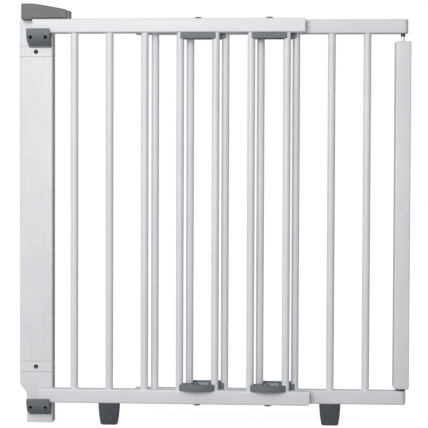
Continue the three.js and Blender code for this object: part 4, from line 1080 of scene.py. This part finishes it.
# %% Mould the catches
CATCH_HALF, CATCH_TAPER = 23.5, 1.1
LIP_FRONT, LIP_BACK, LIP_TOP, CATCH_BACK, CATCH_FOOT = -26.5, -21.5, 8, 0.2, -27
BELLY_DEPTH, BELLY_DROP, TROUGH = 23.5, 24.0, -0.3
SCREW_DROP, SCREW_SPACING, CATCH_SINK_RADIUS, SHANK_HOLE_RADIUS = 9.5, 30.0, 3.6, 2.1
SINK_END = -7.8


def catch_piece(centre_x, under):
    """The hook's outline in y and z: a flat face that turns under as a quarter ellipse, with
    y = d (1 - cos t) and z = -h sin t, down to a thin flange on the board."""
    turn = np.linspace(0, 1, 15) * 0.93 * np.pi / 2
    belly_y = LIP_FRONT + BELLY_DEPTH * (1 - np.cos(turn))
    belly_z = 1.0 - BELLY_DROP * np.sin(turn)
    belly = np.stack([belly_y, belly_z], axis=1)
    foot = [belly[-1], (-3.4, -22.6), (-3.2, CATCH_FOOT), (CATCH_BACK, CATCH_FOOT)]
    flange = soft_corners(foot, 0.8, 4)
    brow = [(LIP_BACK, TROUGH), (LIP_BACK, LIP_TOP), (LIP_FRONT, LIP_TOP), belly[0]]
    lip = soft_corners(brow, 1.3, 6)
    back = [(CATCH_BACK, CATCH_FOOT), (CATCH_BACK, TROUGH), (LIP_BACK, TROUGH)]
    outline = np.concatenate([back, lip[7:21], belly, flange[5:15]]) + [0, under]
    rings = slab(outline, "yz", (centre_x - CATCH_HALF, centre_x + CATCH_HALF), 1.1, 5)
    depth = (rings[..., 1] - LIP_FRONT) / (CATCH_BACK - LIP_FRONT)
    rings[..., 0] -= np.sign(rings[..., 0] - centre_x) * CATCH_TAPER * depth
    catch = mesh_object("catch", skin(rings))
    for side in (-0.5, 0.5):
        where = (centre_x + side * SCREW_SPACING, 0, under - SCREW_DROP)
        sink = rod(CATCH_SINK_RADIUS, (LIP_FRONT - 1, SINK_END), where, "y", 36)
        carve(catch, sink, rod(SHANK_HOLE_RADIUS, (-9, 1), where, "y", 24))
    return soften(catch, 0.3, angle=45)


HEAD_RIM_RADIUS, SHANK_RADIUS, POINT_LENGTH = 3.2, 1.8, 3
CROSS_REACH, CROSS_HALF = 1.7, 0.35


def pan_screw(centre, head_front, tip, axis, head=2.2):
    """A turned screw with a domed head and a pointed tip, and a cross cut into the head. It
    points along the axis from head to tip, which may run either way."""
    way = 1 if tip > head_front else -1
    t = np.linspace(0, 1, 7)
    dome_r = np.maximum(HEAD_RIM_RADIUS * np.sin(t * np.pi / 2), 0.05)
    dome_h = 0.9 * head * (1 - np.cos(t * np.pi / 2)) * 0.55
    length = abs(tip - head_front)
    r = np.concatenate([dome_r, [HEAD_RIM_RADIUS, SHANK_RADIUS, SHANK_RADIUS, 0.05]])
    h = np.concatenate([dome_h, [head, head, length - POINT_LENGTH, length]])
    screw = mesh_object("screw", skin(turned_rings(r, head_front + way * h, centre, axis, 32)))
    plane = ACROSS[axis]
    first, second = PLANES[plane][:2]
    span = sorted((head_front - way * 0.5, head_front + way * 1.2))
    arms = []
    for wide, tall in ((CROSS_REACH, CROSS_HALF), (CROSS_HALF, CROSS_REACH)):
        arm = np.array(rectangle((-wide, wide), (-tall, tall))) + [centre[first], centre[second]]
        arms.append(skin(slab(arm, plane, span)))
    return carve(screw, *arms)


for level in ("top", "bottom"):
    node = f"{level}_catch"
    low, high = limits(node)
    under = high[2] - LIP_TOP
    finish_piece(catch_piece((low[0] + high[0]) / 2, under), node, slate)
    for side in ("left", "right"):
        screw_node = f"{level}_catch_{side}_screw"
        low, high = limits(screw_node)
        screw = pan_screw(middle(screw_node), low[1], high[1], "y")
        # Dark steel on the catch screws is painted shade: it makes the deep sunk holes read dark.
        finish_piece(screw, screw_node, dull_steel_and_hole_shade)
    print(node, "holds the rail at", round(under, 1), "mm")

# %% [markdown]
# ## Latch housing
# The cover is a thin moulded shell, open underneath, that falls in one long curve from the
# latch end to the release tip. Its front face is a shallow panel inside a raised border. The
# outline is drawn once from the front and carried back, and the same outline, drawn in, makes
# the panel and the hollow.

# %% Mould the latch cover
cover_low, cover_high = limits("latch_cover")
top_rail_end = limits("front_top_rail")[0][0]
rail_crown = limits("front_top_rail")[1][2]
WALL, COVER_EDGE, COVER_BEVEL, COVER_CORNER = 1.8, 1.1, 0.3, 1.6
LOW_END_DROP, CURVE_KNEE, CURVE_START, KNEE_DROP = 12.2, 0.37, 0.2, 0.3
SKIRT_TOP, WINDOW_HEIGHT = 820.5, 823.6
PANEL_INSET, PANEL_RISE, PANEL_DEPTH = 1.5, 1.3, 0.35
OPEN_BELOW, OPEN_END = 4, 1.0
WINDOW_NEAR, WINDOW_FAR = 19.5, 38.5


def cover_outline(inset, bottom, open_end=0.0):
    """From the lower left corner along the bottom, up the right end, back along a curve
    (1-t)² a + 2t(1-t) b + t² c, and round the tall left end. An inset draws all but the bottom
    in, and an open end carries the right side out instead."""
    left, top = cover_low[0] + inset, cover_high[2] - inset
    right = cover_high[0] + open_end if open_end else cover_high[0] - inset
    length = cover_high[0] - cover_low[0]
    a = np.array([right, cover_high[2] - LOW_END_DROP - inset])
    b = np.array([cover_low[0] + CURVE_KNEE * length, top - KNEE_DROP])
    c = np.array([cover_low[0] + CURVE_START * length, top])
    t = np.linspace(0.03, 1, 26)[:, None]
    curve = (1 - t) ** 2 * a + 2 * t * (1 - t) * b + t**2 * c
    corners = [c, (left, top), (left, bottom), (right, bottom)]
    left_end = soft_corners(corners, COVER_CORNER, 6)[7:14]
    right_end = [(right, bottom), (right, a[1] - 1.6), (right - 0.5, a[1] - 0.4)]
    return np.concatenate([[(left, bottom)], right_end, curve, left_end])


front, back = cover_low[1], cover_high[1]
outline = cover_outline(0, cover_low[2])
shell = skin(slab(outline, "xz", (front, back), COVER_EDGE, 5))
cover = mesh_object("cover", shell, sharp=50)
skirt_x = (cover_low[0], top_rail_end - 0.4)
skirt = box_skin(skirt_x, (front + 0.2, back - 0.2), (rail_crown - 0.4, SKIRT_TOP))
carve(cover, skirt, operation="UNION")
panel = cover_outline(PANEL_INSET, cover_low[2] + PANEL_RISE)
hollow = cover_outline(WALL, cover_low[2] - OPEN_BELOW, OPEN_END)
window_x = (cover_low[0] + WINDOW_NEAR, cover_low[0] + WINDOW_FAR)
carve(
    cover,
    skin(slab(panel, "xz", (front - 1, front + PANEL_DEPTH))),
    skin(slab(hollow, "xz", (front + WALL, back - WALL))),
    box_skin(window_x, (back - WALL - 1, back + 1), (cover_low[2] - 1, WINDOW_HEIGHT)),
)
soften(cover, COVER_BEVEL)
finish_piece(cover, "latch_cover", latch_grey)
print("cover", np.round(cover_high - cover_low, 1), "mm")

# %% [markdown]
# ### Release tip and sliding bolt
# The tip that a thumb pushes has upright ribs for grip between shallow grooves: its end face
# moves in and out with a cosine along the depth. The bolt is a bar with a flat tongue that
# reaches back over the board, under the keeper.

# %% Shape the tip and the bolt
tip_low, tip_high = limits("release_tip")
GROOVES, RIB_DEPTH, TIP_ROUND, TIP_CORNER = 4, 0.45, 2.4, 2.6
tip_y = np.concatenate([
    tip_low[1] + steps_round(TIP_ROUND, 6),
    np.linspace(tip_low[1] + 2.6, tip_high[1] - 2.6, 30),
    tip_high[1] - steps_round(TIP_ROUND, 6)[::-1],
])
side_inset = draw_back(tip_y - tip_low[1], TIP_ROUND) + draw_back(tip_high[1] - tip_y, TIP_ROUND)
inner_part = np.clip((tip_y - tip_low[1]) / (tip_high[1] - tip_low[1]), 0, 1)
ribbed = RIB_DEPTH * (0.5 - 0.5 * np.cos(2 * np.pi * GROOVES * inner_part))
tip_x, tip_z = rounded_rings(
    np.full_like(tip_y, tip_low[0]),
    tip_high[0] - side_inset - ribbed,
    tip_low[2] + 0.3 * side_inset,
    tip_high[2] - 0.5 * side_inset,
    TIP_CORNER,
    6,
)
tip = mesh_object("tip", skin(in_plane(tip_x, tip_z, tip_y, "xz")))
finish_piece(tip, "release_tip", tip_brown)

bolt_low, bolt_high = limits("latch_bolt")
BOLT_HALF, TONGUE_SETBACK, TONGUE_LENGTH, TONGUE_THICKNESS = 4.5, 26, 12, 3
slide_y = (cover_low[1] + cover_high[1]) / 2
bar = rectangle((bolt_low[0], bolt_high[0]), (bolt_low[2], bolt_high[2]))
bar_y = (slide_y - BOLT_HALF, slide_y + BOLT_HALF)
latch_bolt = mesh_object("bolt", skin(slab(bar, "xz", bar_y)))
left = cover_low[0] + TONGUE_SETBACK
tongue_z = (bolt_low[2] + 0.02, bolt_low[2] + TONGUE_THICKNESS)
tongue = rounded_rings(left, left + TONGUE_LENGTH, slide_y, bolt_high[1], np.array([2, 2]), 5)
carve(latch_bolt, skin(in_plane(*tongue, tongue_z, "xy")), operation="UNION")
soften(latch_bolt, 0.3)
finish_piece(latch_bolt, "latch_bolt", black_grey)

# %% [markdown]
# ### Base, spring, screw and keeper
# These sit out of sight in front, but the keeper and the tongue show from behind. The spring
# is a tube of wire along a helix.

# %% Fit the inside of the latch
base_low, base_high = limits("latch_base")
screw_low, screw_high = limits("latch_screw")
screw_middle = (screw_low + screw_high) / 2
BASE_CORNER, BASE_EDGE, BASE_SINK_RADIUS, BASE_SINK_DEPTH = 1.4, 0.4, 3.5, 2.1
outline = rectangle((base_low[0], base_high[0]), (base_low[1], base_high[1]))
block = slab(soft_corners(outline, BASE_CORNER), "xy", (base_low[2], base_high[2]), BASE_EDGE)
base = mesh_object("base", skin(block))
above = base_high[2] + 1
sink = rod(BASE_SINK_RADIUS, (base_high[2] - BASE_SINK_DEPTH, above), screw_middle, sides=32)
carve(base, rod(SHANK_HOLE_RADIUS, (base_low[2] - 1, above), screw_middle), sink)
finish_piece(base, "latch_base", black_grey)
latch_screw = pan_screw(screw_middle, screw_high[2], screw_low[2], "z", head=1.5)
finish_piece(latch_screw, "latch_screw", bright_steel)

# %% Wind the spring
SPRING_TURNS, STEPS_PER_TURN, WIRE, WIRE_SIDES, KEPT_LENGTH = 7, 36, 0.4, 10, 0.68


def spring_rings(low, high):
    """A circle of wire carried along a helix: the centre runs along x at a steady pace while it
    turns in y and z, and the wire's circle lies across the helix's own direction."""
    turn = np.linspace(0, 2 * np.pi * SPRING_TURNS, STEPS_PER_TURN * SPRING_TURNS)
    radius = (high[1] - low[1]) / 2 - WIRE
    middle_y, middle_z = (low[1] + high[1]) / 2, (low[2] + high[2]) / 2
    x = np.linspace(low[0] + WIRE, high[0] - WIRE, len(turn))
    outward = np.stack([np.zeros_like(turn), np.cos(turn), np.sin(turn)], axis=1)
    y, z = middle_y + radius * np.cos(turn), middle_z + radius * np.sin(turn)
    centre = np.stack([x, y, z], axis=1)
    along = np.gradient(centre, axis=0)
    along /= np.linalg.norm(along, axis=1, keepdims=True)
    across = np.cross(along, outward)
    angle = (np.arange(WIRE_SIDES) * 2 * np.pi / WIRE_SIDES)[:, None]
    circle = np.cos(angle) * outward[:, None] + np.sin(angle) * across[:, None]
    return centre[:, None] + WIRE * circle


spring_low, spring_high = limits("latch_spring")
spring = mesh_object("spring", skin(spring_rings(spring_low, spring_high)))
finish_piece(spring, "latch_spring", bright_steel)
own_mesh(spring)

# %% Bend the keeper
keeper_low, keeper_high = limits("keeper_plate")
METAL, TONGUE_CLEARANCE = 1.6, 1.5
BENDS = [1.2, 0.2, 0.2, 0.5, 1.3, 0.2, 0.2, 0.5]
bend_x = cover_low[0] + TONGUE_SETBACK + TONGUE_LENGTH + TONGUE_CLEARANCE
left, right, foot, crown = keeper_low[0], keeper_high[0], keeper_low[2], keeper_high[2]
corners = [
    (bend_x, foot), (right, foot), (right, foot + METAL), (bend_x + METAL, foot + METAL),
    (bend_x + METAL, crown), (left, crown), (left, crown - METAL), (bend_x, crown - METAL),
]
bent = slab(soft_corners(corners, BENDS, 4), "xz", (keeper_low[1], keeper_high[1]), 0.25, 3)
keeper = mesh_object("keeper", skin(bent))
screw_node = "keeper_screw"
low, high = limits(screw_node)
carve(keeper, rod(SHANK_HOLE_RADIUS, (foot - 1, foot + 2.5), middle(screw_node)))
# The keeper takes the same plating, with its painted reflection.
finish_piece(keeper, "keeper_plate", blue_zinc_with_painted_reflection)
finish_piece(pan_screw(middle(screw_node), high[2], low[2], "z"), screw_node, bright_steel)
print("latch fitted")

# %% [markdown]
# ## Hinge pins
# The gate turns on two bright pins. A dark sleeve sits on the upper one, against the rail, and
# the lower rail turns on a dark washer. Pins have chamfered ends, and the rings are closed
# loops of circles round a bore.

# %% Turn the pins, the sleeve and the washer
PIN_CHAMFER, BORE_RADIUS, RING_EDGE = 0.8, 3.3, 0.4
for node in ("top_hinge_pin", "bottom_hinge_pin"):
    low, high = limits(node)
    r = (high[0] - low[0]) / 2
    radius = [r - PIN_CHAMFER, r, r, r - PIN_CHAMFER]
    height = [low[2], low[2] + PIN_CHAMFER, high[2] - PIN_CHAMFER, high[2]]
    pin = skin(turned_rings(radius, height, middle(node)))
    finish_piece(mesh_object(node, pin), node, bright_steel)

for node in ("top_hinge_sleeve", "bottom_hinge_washer"):
    low, high = limits(node)
    outer, bore, edge = (high[0] - low[0]) / 2, BORE_RADIUS, RING_EDGE
    under, over = low[2], high[2]
    radius = [bore, bore, bore + edge, outer - edge, outer, outer, outer - edge, bore + edge]
    height = [over - edge, under + edge, under, under, under + edge, over - edge, over, over]
    ring = skin(turned_rings(radius, height, middle(node), "z", 48), closed=True)
    finish_piece(mesh_object(node, ring), node, black_grey)
print(len(finished), "pieces finished of", len(frame["nodes"]), "nodes")

# %% [markdown]
# ## Floor and light
# The gate stands on a plain pale floor before an even white backdrop. The air itself glows,
# most from the left front, like a very large tent of cloth, so the rear bars get almost as
# much light as the front ones. A soft box in front and a weak wide sun add a little shape. The
# backdrop and the floor look brighter to the camera than they are to the gate, as when the set
# around an object is lit on its own: Light Path tells them apart.

# %% Lay the floor
FLOOR_REACH, FLOOR_GLOW = 30.0, 0.68
BOUNCED, SEEN = (0.48, 0.48, 0.49, 1), (0.9, 0.9, 0.9, 1)
reach = (-FLOOR_REACH, FLOOR_REACH)
floor_mesh = bpy.data.meshes.new("floor")
floor_mesh.from_pydata([(x, y, 0) for x, y in rectangle(reach, reach)], [], [(0, 1, 2, 3)])
floor = bpy.data.objects.new("floor", floor_mesh)
bpy.context.scene.collection.objects.link(floor)
floor_paint, tree, surface, position = start_material("floor paint", Roughness=0.9)
seen = add_node(tree, "ShaderNodeLightPath").outputs["Is Camera Ray"]
speckle = stretched_noise(tree, position, (30, 30, 30), 3)
pale = tint(tree, BOUNCED, seen, SEEN)
tree.links.new(pale, surface.inputs["Base Color"])
surface.inputs["Emission Color"].default_value = (1, 1, 1, 1)
tree.links.new(spread(tree, seen, 0, 1, 0, FLOOR_GLOW), surface.inputs["Emission Strength"])
relief(tree, surface, (speckle, 0.2, 0.1))
floor.data.materials.append(floor_paint)
floor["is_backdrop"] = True


# %% Hang the lights
def aim(lamp, place, target):
    """Turns a light so that it shines from a place towards a target."""
    back = np.array(place) - np.array(target)
    lamp.location = place
    tilt = math.atan2(math.hypot(back[0], back[1]), back[2])
    lamp.rotation_euler = (tilt, 0, math.atan2(back[0], -back[1]))


def add_light(name, kind, place, target, energy, **settings):
    """A light with its settings, aimed from a place at a target."""
    light = bpy.data.lights.new(name, kind)
    light.energy = energy
    for setting, value in settings.items():
        setattr(light, setting, value)
    lamp = bpy.data.objects.new(name, light)
    bpy.context.scene.collection.objects.link(lamp)
    aim(lamp, place, target)


SUN_PLACE, SUN_STRENGTH, SUN_SPREAD = (-2.0, -2.4, 1.8), 0.18, 50
BOX_PLACE, BOX_TARGET, BOX_WATTS, BOX_SIZE = (-0.35, -1.6, 1.0), (0, 0, 0.5), 15, 0.9
BRIGHTEST_WAY, DIM_AIR, BRIGHT_AIR = (-0.80, -0.52, 0.30), 0.23, 0.62
COOL, WHITE = (0.95, 0.97, 1.0, 1), (1, 1, 1, 1)

sun_angle = math.radians(SUN_SPREAD)
add_light("low sun", "SUN", SUN_PLACE, (0, 0, 0), SUN_STRENGTH, angle=sun_angle)
add_light("soft box", "AREA", BOX_PLACE, BOX_TARGET, BOX_WATTS, size=BOX_SIZE)
world = bpy.data.worlds.new("studio air")
bpy.context.scene.world = world
world.use_nodes = True
air = world.node_tree
backdrop = air.nodes["Background"]
seen = add_node(air, "ShaderNodeLightPath").outputs["Is Camera Ray"]
way = add_node(air, "ShaderNodeTexCoord").outputs["Generated"]
sides = {0: way, 1: BRIGHTEST_WAY}
facing = add_node(air, "ShaderNodeVectorMath", sides, operation="DOT_PRODUCT")
glow = spread(air, facing.outputs["Value"], -0.1, 1.0, DIM_AIR, BRIGHT_AIR)
strength = combine(air, "MAXIMUM", glow, seen)
air.links.new(tint(air, COOL, seen, WHITE), backdrop.inputs["Color"])
air.links.new(strength, backdrop.inputs["Strength"])

# %% [markdown]
# ## Size of the whole
# The box of the finished pieces is measured against the frame's own box, and the largest
# difference between the two is printed.

# %% Measure the boxes
finished_box = [list(corner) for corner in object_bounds()]
growth = np.abs(np.array(finished_box) - np.array(cad_box)).max() / MM
print("largest difference between the boxes:", round(growth, 3), "mm")
